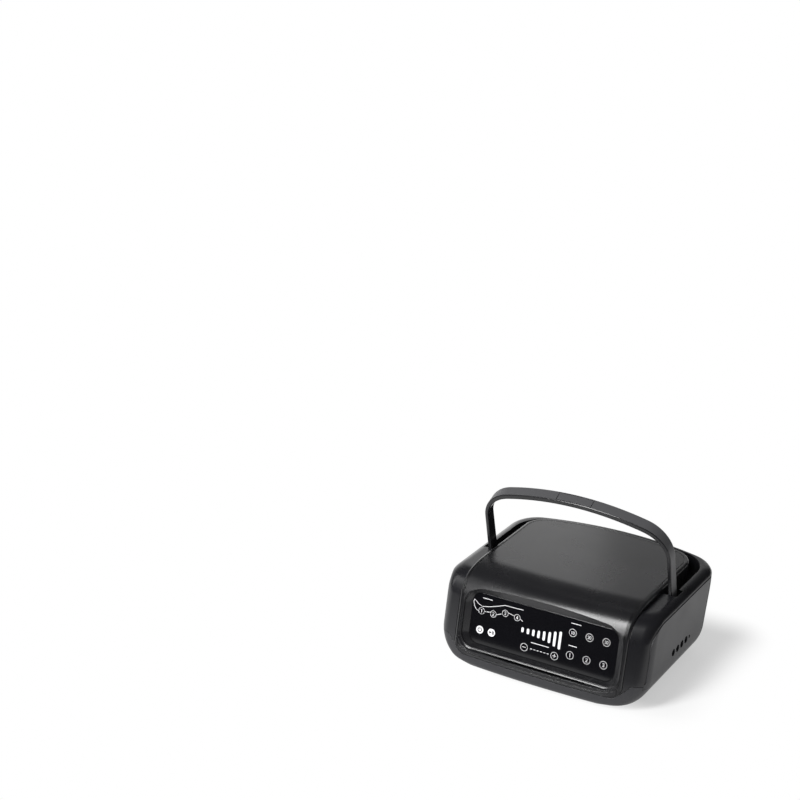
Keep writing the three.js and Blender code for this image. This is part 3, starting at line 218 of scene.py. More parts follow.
# Mains inlet
INLET_Z = 52
INLET_WIDTH = 21
INLET_HEIGHT = 12
INLET_DEPTH = 16
INLET_FLANGE = 2.2
INLET_LIP = 1.6
INLET_WALL = 1.8
INLET_PIN_X = 4.3
INLET_PIN_BORE = 3

# Print on the display, across and up the glass
LEG_POSITIONS = [(-77, 38.3), (-62.2, 38.4), (-47.7, 43), (-32.7, 42)]
POSITION_RADIUS = 3.9
LEG_TOP = [(-88, 46.7), (-87.3, 49.3), (-85.1, 48.3), (-81.9, 45.4), (-76.7, 43.6), (-67.4, 45.4),
           (-56.5, 49), (-49.3, 51.7), (-40.5, 51.9), (-26.4, 52.2)]
LEG_SOLE = [(-88, 46.7), (-86.8, 42.5), (-84, 38.8), (-81, 37.2)]
LEG_UNDER = [((-72.5, 38.5), (-66.5, 39.4)), ((-58.1, 38.6), (-52.1, 41.1)), ((-43.5, 44.3), (-37.3, 43.1)),
             ((-28.7, 41.5), (-25.6, 39.5))]
KEY_DISCS = [(-76.4, 16.5), (-61.7, 16.9)]
KEY_RADIUS = 4.5
SYMBOL_WEIGHT = 1.6
# Lift of the white print and of the dark symbols off the glass
PRINT_LIFT = 0.03
SYMBOL_LIFT = 0.06
BAR_X = [-24.4, -17.6, -11, -4.6, 2, 8.6, 15, 21.3]
BAR_HIGH = [5.4, 6, 7.1, 8.4, 10.4, 12.3, 16.8, 20.2]
BAR_MIDDLE = 30.2
BAR_WIDTH = 3
PRESSURE_KEYS = [(-20, 11.5), (17.2, 11.4)]
DASH_COUNT = 6
DASH_FIRST = -11.3
DASH_PITCH = 4.08
DASH_HEIGHT = 11.7
DASH_SIZE = (2.3, 0.8)
FIGURE_PITCH = 0.72
POSITION_FIGURE = 3.6
MARK_REACH = 2
CHOICE_X = [35.2, 55.2, 75.2]
# Height on the glass of a row of choices, its figures and their height
CHOICES = [(42.7, ("10", "20", "30"), 3.1), (17.2, ("1", "2", "3"), 3.9)]
CAPTION_HIGH = 0.7
CAPTIONS = [(-71, 53.5, 12), (-1.5, 19, 22), (38, 53.2, 12), (37, 28.1, 10)]

# Camera, found from the photograph's perspective
CAMERA_LENS = 76.575
CAMERA_SENSOR = 36
CAMERA_AZIMUTH = math.radians(32.06)
CAMERA_ELEVATION = math.radians(20.79)
CAMERA_PLACE = (740.42, -1565.58, 952.97)


# Shapes in plan and in side view
def arc(cx, cy, radius, start, end, steps):
    """Points on an arc, both ends included."""
    return [(cx + radius * math.cos(start + (end - start) * i / steps),
             cy + radius * math.sin(start + (end - start) * i / steps)) for i in range(steps + 1)]


def chord(radius, distance):
    return math.sqrt(max(0.0, radius * radius - distance * distance))


def front_line(height):
    """The raked plane of the front, at a height."""
    start = CHIN_Y + CHIN_BEND * (1 - 1 / math.cos(FRONT_RAKE))
    return start + (height - FOOT_DROP - CHIN_BEND) * math.tan(FRONT_RAKE)


HOUSING_FRONT = {"foot": FOOT_DROP, "top": RIM_HEIGHT, "top_bend": TOP_FRONT_BEND, "foot_bend": CHIN_BEND,
                 "lip": 0}
LID_FRONT = {"foot": LID_FOOT, "top": COVER_HEIGHT, "top_bend": 38, "foot_bend": 2, "lip": 1.5}
# The lid's top leads gently into its front bend: a wide arc, then a tight one that meets the bend
LEAD_RADIUS = 110
LEAD_TILT = math.radians(15)
MEET_TILT = math.radians(50)
TIGHT_RADIUS = ((LID_FRONT["top_bend"] * (1 - math.cos(MEET_TILT)) - LEAD_RADIUS * (1 - math.cos(LEAD_TILT)))
                / (math.cos(LEAD_TILT) - math.cos(MEET_TILT)))
GLASS_FOOT = Vector((0, front_line(GLASS_FOOT_Z) + GLASS_SUNK, GLASS_FOOT_Z))


def bend_middle(spec):
    """Middle of the top bend in side view."""
    z = spec["top"] - spec["top_bend"]
    return front_line(z) - spec["lip"] + spec["top_bend"] / math.cos(FRONT_RAKE), z


def lid_front_at(z, inset):
    """The lid's front face at a height, with the gentle lead-in of its top."""
    y, middle = bend_middle(LID_FRONT)
    slack = LID_FRONT["top_bend"] - TIGHT_RADIUS
    y += -slack * math.sin(MEET_TILT)
    middle += slack * math.cos(MEET_TILT)
    if z < middle + (TIGHT_RADIUS - inset) * math.cos(MEET_TILT):
        return front_at(z, inset, LID_FRONT)
    if z < middle + (TIGHT_RADIUS - inset) * math.cos(LEAD_TILT):
        return y - chord(TIGHT_RADIUS - inset, z - middle)
    reach = LEAD_RADIUS - TIGHT_RADIUS
    return (y + reach * math.sin(LEAD_TILT)
            - chord(LEAD_RADIUS - inset, z - (middle - reach * math.cos(LEAD_TILT))))


def front_at(z, inset, spec):
    """Front face at a height: a raked plane, bent back over the top and under at the foot."""
    def plane(height, depth):
        return front_line(height) - spec["lip"] + depth / math.cos(FRONT_RAKE)

    top_z = spec["top"] - spec["top_bend"]
    foot_z = spec["foot"] + spec["foot_bend"]
    big = spec["top_bend"] - inset
    small = spec["foot_bend"] - inset
    if z > top_z + big * math.sin(FRONT_RAKE):
        return plane(top_z, spec["top_bend"]) - chord(big, z - top_z)
    if small > 0 and z < foot_z + small * math.sin(FRONT_RAKE):
        return plane(foot_z, spec["foot_bend"]) - chord(small, z - foot_z)
    return plane(z, inset)


def rear_at(z, inset):
    """Rear face at a height: upright under the rim, raked in below it, round at the floor."""
    top_z = RIM_HEIGHT - REAR_TOP_EDGE
    bend_y = REAR_Y - REAR_TOP_BEND
    foot_z = FOOT_DROP + REAR_FOOT_BEND
    big = REAR_TOP_BEND - inset
    small = REAR_FOOT_BEND - inset

    def plane(height):
        return bend_y + REAR_TOP_BEND / math.cos(REAR_RAKE) - (top_z - height) * math.tan(REAR_RAKE)

    if z > top_z:
        return REAR_Y - REAR_TOP_EDGE + chord(max(REAR_TOP_EDGE - inset, 0), z - top_z)
    if z > top_z - big * math.sin(REAR_RAKE):
        return bend_y + chord(big, top_z - z)
    if z < foot_z - small * math.sin(REAR_RAKE):
        return plane(foot_z) - REAR_FOOT_BEND / math.cos(REAR_RAKE) + chord(small, foot_z - z)
    return plane(z) - inset / math.cos(REAR_RAKE)


SHOULDER_Z = RIM_HEIGHT - SHOULDER_BEND
SHOULDER_X = HALF_WIDTH - chord(SHOULDER_BEND, SHOULDER_HEIGHT - SHOULDER_Z)


def half_at(z, inset):
    """Half width at a height: large bend to the floor, flat side, round shoulder up to the rim."""
    foot_z = FOOT_DROP + SIDE_FOOT_BEND
    if z < foot_z:
        return HALF_WIDTH - SIDE_FOOT_BEND + chord(SIDE_FOOT_BEND - inset, foot_z - z)
    if z <= SHOULDER_Z:
        return HALF_WIDTH - inset
    return min(HALF_WIDTH - inset, SHOULDER_X + chord(SHOULDER_BEND - inset, z - SHOULDER_Z))


def levels(bottom, top, bends, gap=0.3):
    """Heights of the rings: both ends and even steps round each bend."""
    found = [bottom]
    bent = sorted(c + r * math.sin(a + (b - a) * i / n) for c, r, a, b, n in bends for i in range(n + 1))
    for z in bent:
        if found[-1] + gap < z < top - gap / 2:
            found.append(z)
    return found + [top]


FRONT_STEPS = 10
REAR_STEPS = 18
# Front corners: a flat facet turned outwards, then the bend, as shares of the corner's size
FACET_TURN = math.radians(16)
FACET_SHARE = 1.225
BEND_SHARE = 0.885


def bowed_end(half, end, corner, bow, corner_steps=REAR_STEPS, bow_steps=REAR_STEPS):
    """A bowed line with two round corners, from right to left."""
    turn = math.asin((half - corner) / (bow - corner))
    middle = end - bow + (bow - corner) * math.cos(turn)
    return (arc(half - corner, middle, corner, 0, QUARTER - turn, corner_steps)
            + arc(0, end - bow, bow, QUARTER - turn, QUARTER + turn, bow_steps)[1:-1]
            + arc(-half + corner, middle, corner, QUARTER + turn, 2 * QUARTER, corner_steps))


def plan_ring(z, half, front, rear, front_r, rear_r, front_bow, rear_bow):
    """Plan outline with a bowed front and rear and four round corners."""
    fc = max(front_r, SEAM_GAP)
    fa = math.asin((half - FACET_SHARE * fc) / front_bow)
    bend = BEND_SHARE * fc
    near_x, near_y = half - FACET_SHARE * fc, front + front_bow * (1 - math.cos(fa))
    far_x = half - bend * (1 - math.sin(FACET_TURN))
    fy = near_y + (far_x - near_x) * math.tan(FACET_TURN) + bend * math.cos(FACET_TURN)
    flat = (arc(-half + bend, fy, bend, -2 * QUARTER, -QUARTER - FACET_TURN, FRONT_STEPS)
            + [(-near_x, near_y)]
            + arc(0, front + front_bow, front_bow, -QUARTER - fa, -QUARTER + fa, FRONT_STEPS)[1:-1]
            + [(near_x, near_y)]
            + arc(half - bend, fy, bend, -QUARTER + FACET_TURN, 0, FRONT_STEPS)
            + bowed_end(half, rear, max(rear_r, SEAM_GAP), rear_bow))
    return [Vector((x, y, z)) for x, y in flat]


def back_outline(half, rear, corner, bow, front_end):
    """Plan outline with a bowed rear and two round corners, open-ended to the front."""
    return [(-half, front_end), (half, front_end)] + bowed_end(half, rear, corner, bow)


def lid_plan(grow, front_end=-FAR):
    return back_outline(LID_HALF + grow, LID_REAR + grow, LID_CORNER + grow, REAR_BOW + grow, front_end)


def channel_plan(grow, front_end):
    return back_outline(CHANNEL_HALF + grow, CHANNEL_REAR + grow, CHANNEL_CORNER + grow, CHANNEL_BOW + grow,
                        front_end)


def bezier(a, b, c, d, steps):
    """Points on a cubic curve, the first left out."""
    points = []
    for i in range(1, steps + 1):
        t = i / steps
        points.append(tuple((1 - t) ** 3 * a[k] + 3 * (1 - t) ** 2 * t * b[k]
                            + 3 * (1 - t) * t * t * c[k] + t ** 3 * d[k] for k in (0, 1)))
    return points


def lid_foot_outline(gap):
    """Front view of the lid's foot, with its corners drawn up to the pillars."""
    half = LID_HALF + gap
    foot = LID_FOOT - gap
    rise = foot + 13
    turn = 12
    flat = half - 36
    return ([(half, FAR), (-half, FAR), (-half, rise)]
            + bezier((-half, rise), (-half, foot + 6), (-half + turn, foot), (-flat, foot), 14)
            + [(flat, foot)]
            + bezier((flat, foot), (half - turn, foot), (half, foot + 6), (half, rise), 14))


def panel_outline(grow):
    """Side panel in side view (y, z), following the front bend and the rear rake."""
    foot = PANEL_FOOT - grow
    top = SHOULDER_HEIGHT - 1 + grow
    bend_z = top - PANEL_TOP_CORNER
    rear_z = foot + PANEL_REAR_CORNER

    def front(z):
        return front_at(z, 0, HOUSING_FRONT) + PANEL_FRONT_GAP - grow

    def rear(z):
        return rear_at(z, 0) - PANEL_REAR_GAP + grow

    straight = REAR_TOP_BEND * math.sin(REAR_RAKE)
    return ([(front(foot), foot)]
            + [(front(foot + (bend_z - foot) * i / 4), foot + (bend_z - foot) * i / 4) for i in range(1, 4)]
            + arc(front(bend_z) + PANEL_TOP_CORNER, bend_z, PANEL_TOP_CORNER, 2 * QUARTER, QUARTER, 16)
            + [(rear(top - straight * i / 6), top - straight * i / 6) for i in range(7)]
            + arc(rear(rear_z) - PANEL_REAR_CORNER, rear_z, PANEL_REAR_CORNER, 0, -QUARTER, 8))


# Mesh tools
def new_object(name, verts, faces):
    """A mesh object from points in millimetres."""
    mesh = bpy.data.meshes.new(name)
    mesh.from_pydata([Vector(v) * MM for v in verts], [], faces)
    mesh.update()
    piece = bpy.data.objects.new(name, mesh)
    bpy.context.scene.collection.objects.link(piece)
    return piece


def face_out(piece):
    """Turns the faces outwards."""
    work = bmesh.new()
    work.from_mesh(piece.data)
    bmesh.ops.recalc_face_normals(work, faces=work.faces)
    if work.calc_volume(signed=True) < 0:
        bmesh.ops.reverse_faces(work, faces=work.faces)
    work.to_mesh(piece.data)
    work.free()
    return piece


def loft(name, rings):
    """Closed body through rings that have the same number of points."""
    count = len(rings[0])
    verts = [p for ring in rings for p in ring]
    last = len(verts) - count
    faces = [(k + i, k + (i + 1) % count, k + count + (i + 1) % count, k + count + i)
             for k in range(0, last, count) for i in range(count)]
    faces += [tuple(reversed(range(count))), tuple(range(last, last + count))]
    return face_out(new_object(name, verts, faces))


def prism(name, outline, start, end, place):
    """An outline pushed from start to end; place turns (u, v, w) into x, y, z."""
    return loft(name, [[Vector(place(u, v, w)) for u, v in outline] for w in (start, end)])


def upright(u, v, w):
    return (u, v, w)


def from_front(u, v, w):
    return (u, w, v)


def from_side(u, v, w):
    return (w, u, v)


def block(name, a, b):
    outline = [(a[0], a[1]), (b[0], a[1]), (b[0], b[1]), (a[0], b[1])]
    return prism(name, outline, a[2], b[2], upright)


def circle(radius, sides):
    return arc(0, 0, radius, 0, 4 * QUARTER, sides)[:-1]


def round_bar(name, radius, start, end, sides=40):
    """A round bar between two points."""
    start, end = Vector(start), Vector(end)
    turn = (end - start).to_track_quat("Z", "Y")
    return loft(name, [[at + turn @ Vector((x, y, 0)) for x, y in circle(radius, sides)]
                       for at in (start, end)])


def turned(name, profile, at, along, sides=48):
    """A turned body: profile of (radius, height), first and last on the axis."""
    turn = Vector(along).to_track_quat("Z", "Y")
    at = Vector(at)
    verts, faces, rows = [], [], []
    for radius, height in profile:
        points = circle(radius, sides) if radius else [(0, 0)]
        rows.append(range(len(verts), len(verts) + len(points)))
        verts += [at + turn @ Vector((x, y, height)) for x, y in points]
    for low, high in zip(rows, rows[1:]):
        for i in range(sides):
            corners = [row[k % len(row)] for row, k in ((low, i), (low, i + 1), (high, i + 1), (high, i))
                       if len(row) > 1 or k == i]
            faces.append(tuple(corners))
    return face_out(new_object(name, verts, faces))


def settle(piece):
    """Applies the modifiers."""
    graph = bpy.context.evaluated_depsgraph_get()
    mesh = bpy.data.meshes.new_from_object(piece.evaluated_get(graph))
    piece.modifiers.clear()
    piece.data = mesh
    return piece


def combine(body, operation, *tools):
    """Cuts, joins or keeps the overlap with the tools, which are used up."""
    for tool in tools:
        step = body.modifiers.new("combine", "BOOLEAN")
        step.operation = operation
        step.object = tool
        step.solver = "MANIFOLD"
    settle(body)
    for tool in tools:
        bpy.data.meshes.remove(tool.data)
    return body


def cut(body, *tools):
    return combine(body, "DIFFERENCE", *tools)


def join(body, *tools):
    return combine(body, "UNION", *tools)


def keep(body, *tools):
    return combine(body, "INTERSECT", *tools)


def finish_surface(piece, finish, body, *nodes, angle=28):
    """Smooths, paints and fixes a piece to its body in place of its CAD nodes."""
    piece.data.materials.clear()
    piece.data.materials.append(finishes[finish])
    piece.data.shade_smooth()
    piece.data.set_sharp_from_angle(angle=math.radians(angle))
    step = piece.modifiers.new("even_normals", "WEIGHTED_NORMAL")
    step.keep_sharp = True
    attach(piece, body)
    if nodes:
        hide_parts(*nodes)
    return piece


# Colours and finishes
def linear_colour(hex_value):
    """sRGB hex colour to linear red, green, blue and alpha."""
    channels = [int(hex_value[i:i + 2], 16) / 255 for i in (0, 2, 4)]
    return tuple(c / 12.92 if c <= 0.04045 else ((c + 0.055) / 1.055) ** 2.4 for c in channels) + (1.0,)


def add_node(tree, kind, settings=None, **inputs):
    """Adds a node with its settings, and sets or links its inputs by name."""
    node = tree.nodes.new(kind)
    for name, value in (settings or {}).items():
        setattr(node, name, value)
    for name, value in inputs.items():
        socket = node.inputs[int(name[1:]) if name[0] == "_" else name.replace("_", " ")]
        if isinstance(value, bpy.types.NodeSocket):
            tree.links.new(value, socket)
        else:
            socket.default_value = value
    return node


def new_material(name, colour, roughness, **shader_values):
    """A material with one shader; returns the material, its tree and the shader."""
    material = bpy.data.materials.new(name)
    material.use_nodes = True
    tree = material.node_tree
    tree.nodes.clear()
    shader = add_node(tree, "ShaderNodeBsdfPrincipled", Base_Color=colour, Roughness=roughness,
                      **shader_values)
    add_node(tree, "ShaderNodeOutputMaterial", Surface=shader.outputs["BSDF"])
    material.diffuse_color = colour
    return material, tree, shader


NOISE = "ShaderNodeTexNoise"
CELLS = "ShaderNodeTexVoronoi"
WAVES = "ShaderNodeTexWave"


def pattern(tree, kind, size, stretch=None, **inputs):
    """A pattern laid on the piece, its features sized in millimetres; stretch packs them along an axis."""
    place = add_node(tree, "ShaderNodeTexCoord").outputs["Object"]
    if stretch:
        place = add_node(tree, "ShaderNodeMapping", Vector=place, Scale=stretch).outputs["Vector"]
    return add_node(tree, kind, Vector=place, Scale=1 / (size * MM), **inputs).outputs[0]


def raise_relief(tree, shader, height, depth, strength, edge_radius=0, samples=6):
    """Bumps of a depth in millimetres, on edges that are never quite sharp."""
    under = {}
    if edge_radius:
        edges = add_node(tree, "ShaderNodeBevel", {"samples": samples}, Radius=edge_radius * MM)
        under["Normal"] = edges.outputs["Normal"]
    bump = add_node(tree, "ShaderNodeBump", Height=height, Distance=depth * MM, Strength=strength, **under)
    tree.links.new(bump.outputs["Normal"], shader.inputs["Normal"])


def moulded_abs(name, colour, roughness, grain_size, grain_depth, edge_radius=0.4):
    """Injection moulded ABS: the tool's spark-eroded grain breaks up the gloss; edges are a little soft."""
    material, tree, shader = new_material(name, colour, roughness, IOR=1.53)
    grain = pattern(tree, NOISE, grain_size, Detail=2.0, Roughness=0.6)
    raise_relief(tree, shader, grain, grain_depth, 1.0, edge_radius)
    # Handling leaves the satin a little shinier in broad patches
    spread = add_node(tree, "ShaderNodeMapRange", {"clamp": True}, Value=pattern(tree, NOISE, 45, Detail=3.0),
                      From_Min=0.3, From_Max=0.7, To_Min=roughness - 0.03, To_Max=roughness + 0.03)
    tree.links.new(spread.outputs["Result"], shader.inputs["Roughness"])
    return material


def worked_surface(name, hex_value, roughness, metallic, kind, size, depth, stretch=None, values=None):
    """A finish whose pattern of bumps has a real size and depth in millimetres."""
    material, tree, shader = new_material(name, linear_colour(hex_value), roughness, Metallic=metallic,
                                          **(values or {}))
    raise_relief(tree, shader, pattern(tree, kind, size, stretch), depth, 0.8, 0.25, 4)
    return material


def printed_acrylic(name, colour):
    """Acrylic sheet printed black on its back: deep, even gloss with only the faintest waviness."""
    material, tree, shader = new_material(name, colour, 0.07, IOR=1.49)
    raise_relief(tree, shader, pattern(tree, NOISE, 60), 0.02, 0.3, 0.5)
    return material


def printing_ink(name, colour):
    """Screen printed ink: flat, dry and a little uneven in cover."""
    material, tree, shader = new_material(name, colour, 0.6)
    raise_relief(tree, shader, pattern(tree, NOISE, 0.6), 0.01, 0.5)
    return material


# Moulded plastics by material slot: name, the user's colour, roughness, grain's size and depth, edge radius
MOULDED = {
    "shell_plastic": ("satin_abs_shell", "shell", 0.29, 0.35, 0.01),
    "cover_plastic": ("satin_abs_lid", "lid", 0.26, 0.35, 0.01),
    "chin_plastic": ("satin_abs_base", "base", 0.40, 0.35, 0.012),
    "panel_plastic": ("spark_eroded_abs_panel", "panel", 0.46, 0.3, 0.02, 0.3),
    "handle_plastic": ("glossy_abs_handle", "handle", 0.2, 0.5, 0.004, 0.6),
    # The grip is a matt finish on the inlay, and painted light where it lightens the handle's outer faces
    "grip_plastic": ("spark_eroded_abs_grip", "grip", 0.5, 0.3, 0.02),
}
# Other finishes by material slot: name, colour, roughness, metallic, pattern, its size and depth, and extras
WORKED = {
    # Moulded rubber drinks the light and shows a fine open pore
    "rubber": ("moulded_rubber", "1c1c1d", 0.75, 0, NOISE, 0.4, 0.03),
    # Natural nylon is waxy and lets a little light in
    "nylon": ("natural_nylon", "dedbd0", 0.42, 0, NOISE, 0.8, 0.01, None,
              {"Subsurface_Weight": 0.2, "Subsurface_Scale": 1.5 * MM}),
    # Black nylon in the sockets is as waxy, but closed
    "socket_nylon": ("black_nylon", "232325", 0.4, 0, NOISE, 0.8, 0.01),
    # Clear extruded tube shines along its length
    "hose": ("clear_extruded_vinyl", "d5dade", 0.18, 0, WAVES, 3, 0.02, None,
             {"IOR": 1.53, "Transmission_Weight": 0.5}),
    # Open foam is all shadowed cells
    "foam": ("open_cell_foam", "6c6e72", 0.95, 0, CELLS, 0.9, 0.5),
    # Drawn steel has fine lines along the draw
    "steel": ("drawn_steel", "b9bbc0", 0.28, 1, NOISE, 0.5, 0.004, (1, 12, 12)),
    # Zinc plate is a pale, slightly cloudy metal
    "zinc_steel": ("zinc_plated_steel", "a7abb0", 0.42, 1, CELLS, 2.5, 0.004),
    # Die cast aluminium keeps the skin of the die
    "cast_aluminium": ("die_cast_aluminium", "94979b", 0.5, 1, NOISE, 0.7, 0.02),
    # Turned brass carries the rings of the tool
    "brass": ("turned_brass", "c9a455", 0.3, 1, WAVES, 0.6, 0.004),
    # Wound copper wire shows each turn
    "copper": ("wound_copper_wire", "b0693a", 0.35, 1, WAVES, 1.2, 0.1),
    # Glass fibre board is a woven sheet under green lacquer
    "circuit_board": ("lacquered_glass_fibre", "1f5a35", 0.35, 0, WAVES, 0.9, 0.01),
}


def mix_finishes(colours):
    """All the finishes of the pump, by the name of the record's material slot or of the print."""
    made = {slot: moulded_abs(name, getattr(colours, colour), *rest)
            for slot, (name, colour, *rest) in MOULDED.items()}
    made.update((slot, worked_surface(*row)) for slot, row in WORKED.items())
    made["display_glass"] = printed_acrylic("back_printed_acrylic", colours.glass)
    made["ink"] = printing_ink("white_screen_ink", colours.ink)
    return made


# Housing
def housing_form(name, inset, side_inset=None):
    """The body's outer form, or the same form further in."""
    side = inset if side_inset is None else side_inset
    bends = ((FOOT_DROP + SIDE_FOOT_BEND, SIDE_FOOT_BEND - inset, -QUARTER, 0, 14),
             (FOOT_DROP + CHIN_BEND, max(CHIN_BEND - inset, 0), -QUARTER, FRONT_RAKE, 6),
             (RIM_HEIGHT - TOP_FRONT_BEND, TOP_FRONT_BEND - inset, FRONT_RAKE, QUARTER, 16),
             (SHOULDER_Z, SHOULDER_BEND - inset, QUARTER / 3, QUARTER, 10))
    rings = [plan_ring(z, half_at(z, side), front_at(z, inset, HOUSING_FRONT), rear_at(z, inset),
                       FRONT_CORNER - inset, REAR_CORNER - inset, FRONT_BOW - inset, REAR_BOW - inset)
             for z in levels(FOOT_DROP + inset, RIM_HEIGHT - inset, bends)]
    return loft(name, rings)


def both_sides(make):
    return [make(-1), make(1)]


def pair(name, near, far, front, back, foot, top):
    """A block on each side, from near to far across."""
    return both_sides(lambda side: block(name, (side * near, front, foot), (side * far, back, top)))


def pivot_bars(name, radius, near, far, sides=40):
    """A round bar on the handle's axis on each side, from near to far across."""
    return both_sides(lambda side: round_bar(name, radius, (side * near, PIVOT_Y, PIVOT_Z),
                                             (side * far, PIVOT_Y, PIVOT_Z), sides))


def columns(name, radius, spots, foot, top):
    """Upright round bars."""
    return [round_bar(name, radius, (x, y, foot), (x, y, top)) for x, y in spots]


def outside():
    return housing_form("outside", 0)


def inside(gap=0):
    """The space inside the walls, whose sides also hold the panels."""
    return housing_form("inside", WALL + gap, HALF_WIDTH - INNER_X + gap)


def panel_form(name, side, grow):
    """The side panel's outline pushed in from the side."""
    x0, x1 = sorted((side * SIDE_REACH, side * FAR))
    return prism(name, panel_outline(grow), x0, x1, from_side)


def panel_recess(side, grow, depth):
    """What a side panel fills: its outline, kept outside a form at the panel's back."""
    return cut(panel_form("panel_form", side, grow), housing_form("behind_panel", depth))


def panel_spaces():
    return both_sides(lambda side: panel_recess(side, FIT_GAP, PANEL_THICK + FIT_GAP))


def socket_bores(side, start, end):
    """The four hose bores and the key bore of one side, as bars."""
    return [round_bar("bore", width / 2, (side * start, y, PORT_Z), (side * end, y, PORT_Z))
            for y, width in [(y, PORT_BORE) for y in PORT_Y] + [(KEY_Y, KEY_BORE)]]


def inlet_outline(grow):
    r = INLET_HEIGHT / 2 + grow
    reach = INLET_WIDTH / 2 - INLET_HEIGHT / 2
    return arc(reach, 0, r, -QUARTER, QUARTER, 16) + arc(-reach, 0, r, QUARTER, 3 * QUARTER, 16)


def at_inlet(u, v, w):
    """From across, up and out of the inlet to the raked rear face."""
    place = Matrix.Rotation(-REAR_RAKE, 3, "X") @ Vector((u, w, v))
    return place + Vector((0, rear_at(INLET_Z, 0), INLET_Z))


def seam_outline(gap):
    """Front view of all that lies under the seam, which dips in an S towards the lid's foot."""
    high = SEAM_HEIGHT + gap
    foot = LID_FOOT - SEAM_GAP + gap
    drop = [(SEAM_TURN, high), (SEAM_TURN - 5, high), (LID_HALF - 1, foot + 3), (LID_HALF - 12, foot)]
    right = [(SEAM_TURN, high)] + bezier(*drop, 14)
    left = [(-x, z) for x, z in reversed(right)]
    return [(-FAR, -FAR), (FAR, -FAR), (FAR, high)] + right + left + [(-FAR, high)]


def under_seam(gap):
    """All that lies under the seam: the S at the front, level everywhere else."""
    return join(prism("below", seam_outline(gap), -FAR, SEAM_BACK, from_front),
                block("level", (-FAR, SEAM_BACK - SEAM_LAP, -FAR), (FAR, FAR, SEAM_HEIGHT + gap)))


def lid_opening(grow):
    """The space that the lid takes, down to its drawn-up foot."""
    return keep(lid_space(grow, -1), prism("lid_foot", lid_foot_outline(grow), -FAR, FAR, from_front))


def channel_space(front):
    return prism("channel", channel_plan(0, front), CHANNEL_FLOOR, FAR, upright)


def lid_space(grow, foot):
    """The lid's plan pushed up from a height."""
    return prism("lid_space", lid_plan(grow), foot, FAR, upright)


def pivot_spaces():
    """Pivot pockets and the bores of the pins."""
    return (pair("pocket", POCKET_INNER, POCKET_OUTER, POCKET_FRONT, POCKET_BACK, CHANNEL_FLOOR, FAR)
            + pivot_bars("pin_bore", PIN_RADIUS + FIT_GAP / 2, POCKET_INNER - PIN_BITE,
                         POCKET_OUTER + PIN_BITE))


TROUGH_FRONT = POCKET_FRONT - TROUGH_WALL
TROUGH_BACK = POCKET_BACK + TROUGH_WALL
TROUGH_FOOT = CHANNEL_FLOOR - TROUGH_WALL
CHEEK_TOP = RIM_HEIGHT - POCKET_CAP


def pocket_cheeks(near, far):
    """Blocks from near to far across, in front of, round and behind each pivot pocket."""
    return pair("cheek", near, far, TROUGH_FRONT, TROUGH_BACK, TROUGH_FOOT, CHEEK_TOP)


def outer_shell():
    """Pillars, shoulders and rear wall, with the outer cheeks of the pivot pockets."""
    rear_wall = block("rear_wall", (-FAR, REAR_KEPT, -FAR), (FAR, FAR, CHANNEL_FLOOR))
    opening = cut(lid_opening(FIT_GAP), rear_wall)
    shell = cut(housing_form("outer_shell_moulding", 0), inside(), opening, under_seam(SEAM_LINE))
    shell = join(shell, *pocket_cheeks(POCKET_OUTER, INNER_X + WALL / 2))
    shell = cut(shell, channel_space(POCKET_FRONT), *pivot_spaces())
    shell = cut(shell, *panel_spaces())
    margin, reach = BLOCK_MARGIN + FIT_GAP, BLOCK_HEIGHT / 2 + FIT_GAP
    windows = pair("window", SIDE_REACH, FAR, PORT_Y[0] - margin, KEY_Y + margin,
                   PORT_Z - reach, PORT_Z + reach)
    return cut(shell, *windows, prism("inlet_hole", inlet_outline(FIT_GAP), -80, 20, at_inlet))


def handle_channel():
    """The gutter that the handle folds into, with its coaming under the lid and the pockets' inner cheeks."""
    hollow = -COAMING_INSET - TROUGH_WALL
    gutter = prism("channel_moulding", channel_plan(TROUGH_WALL, TROUGH_FRONT), TROUGH_FOOT, RIM_HEIGHT,
                   upright)
    gutter = cut(gutter, lid_space(hollow, 0), channel_space(POCKET_FRONT))
    coaming = prism("coaming", lid_plan(-COAMING_INSET, TROUGH_FRONT), TROUGH_FOOT, RIM_HEIGHT - COAMING_DROP,
                    upright)
    coaming = cut(coaming, lid_space(hollow, 0))
    gutter = join(gutter, coaming, *pocket_cheeks(POCKET_INNER - 2 * TROUGH_WALL, POCKET_OUTER - FIT_GAP))
    gutter = keep(gutter, inside(FIT_GAP))
    run = cut(channel_space(POCKET_BACK - FIT_GAP), lid_space(-COAMING_INSET, 0))
    slot = cut(lid_space(FIT_GAP, CHEEK_TOP), lid_space(-COAMING_INSET, 0))
    rear = block("open_rear", (-CHANNEL_HALF / 2, LID_REAR, CHANNEL_FLOOR), (CHANNEL_HALF / 2, FAR, FAR))
    return cut(cut(gutter, run, slot, rear), *pivot_spaces())


def base_tub():
    """The tub with the chin, screw and foot recesses and the intake slots."""
    above = cut(block("above", (-FAR, -FAR, 0), (FAR, FAR, FAR)), under_seam(0))
    tub = cut(housing_form("base_moulding", 0), inside(), above)
    pillars = (columns("pad", FOOT_RADIUS + WALL, FEET, FOOT_DROP, FLOOR_Z + FOOT_RECESS)
               + columns("post", POST_RADIUS, POSTS, 0, SEAM_HEIGHT))
    tub = join(tub, *[keep(pillar, outside()) for pillar in pillars])
    tub = cut(tub, *columns("recess", FOOT_RADIUS + FIT_GAP, FEET, -20, FOOT_DROP + FOOT_RECESS),
              *columns("head", SCREW_HEAD, POSTS, -20, SCREW_HEAD_TOP),
              *columns("shank", SCREW_SHANK, POSTS, 0, FAR))
    tub = cut(tub, *panel_spaces())
    return cut(tub, *[block("slot", (x - SLOT_WIDTH / 2, y - SLOT_LENGTH / 2, -20),
                            (x + SLOT_WIDTH / 2, y + SLOT_LENGTH / 2, FLOOR_Z + 2)) for x, y in SLOTS])


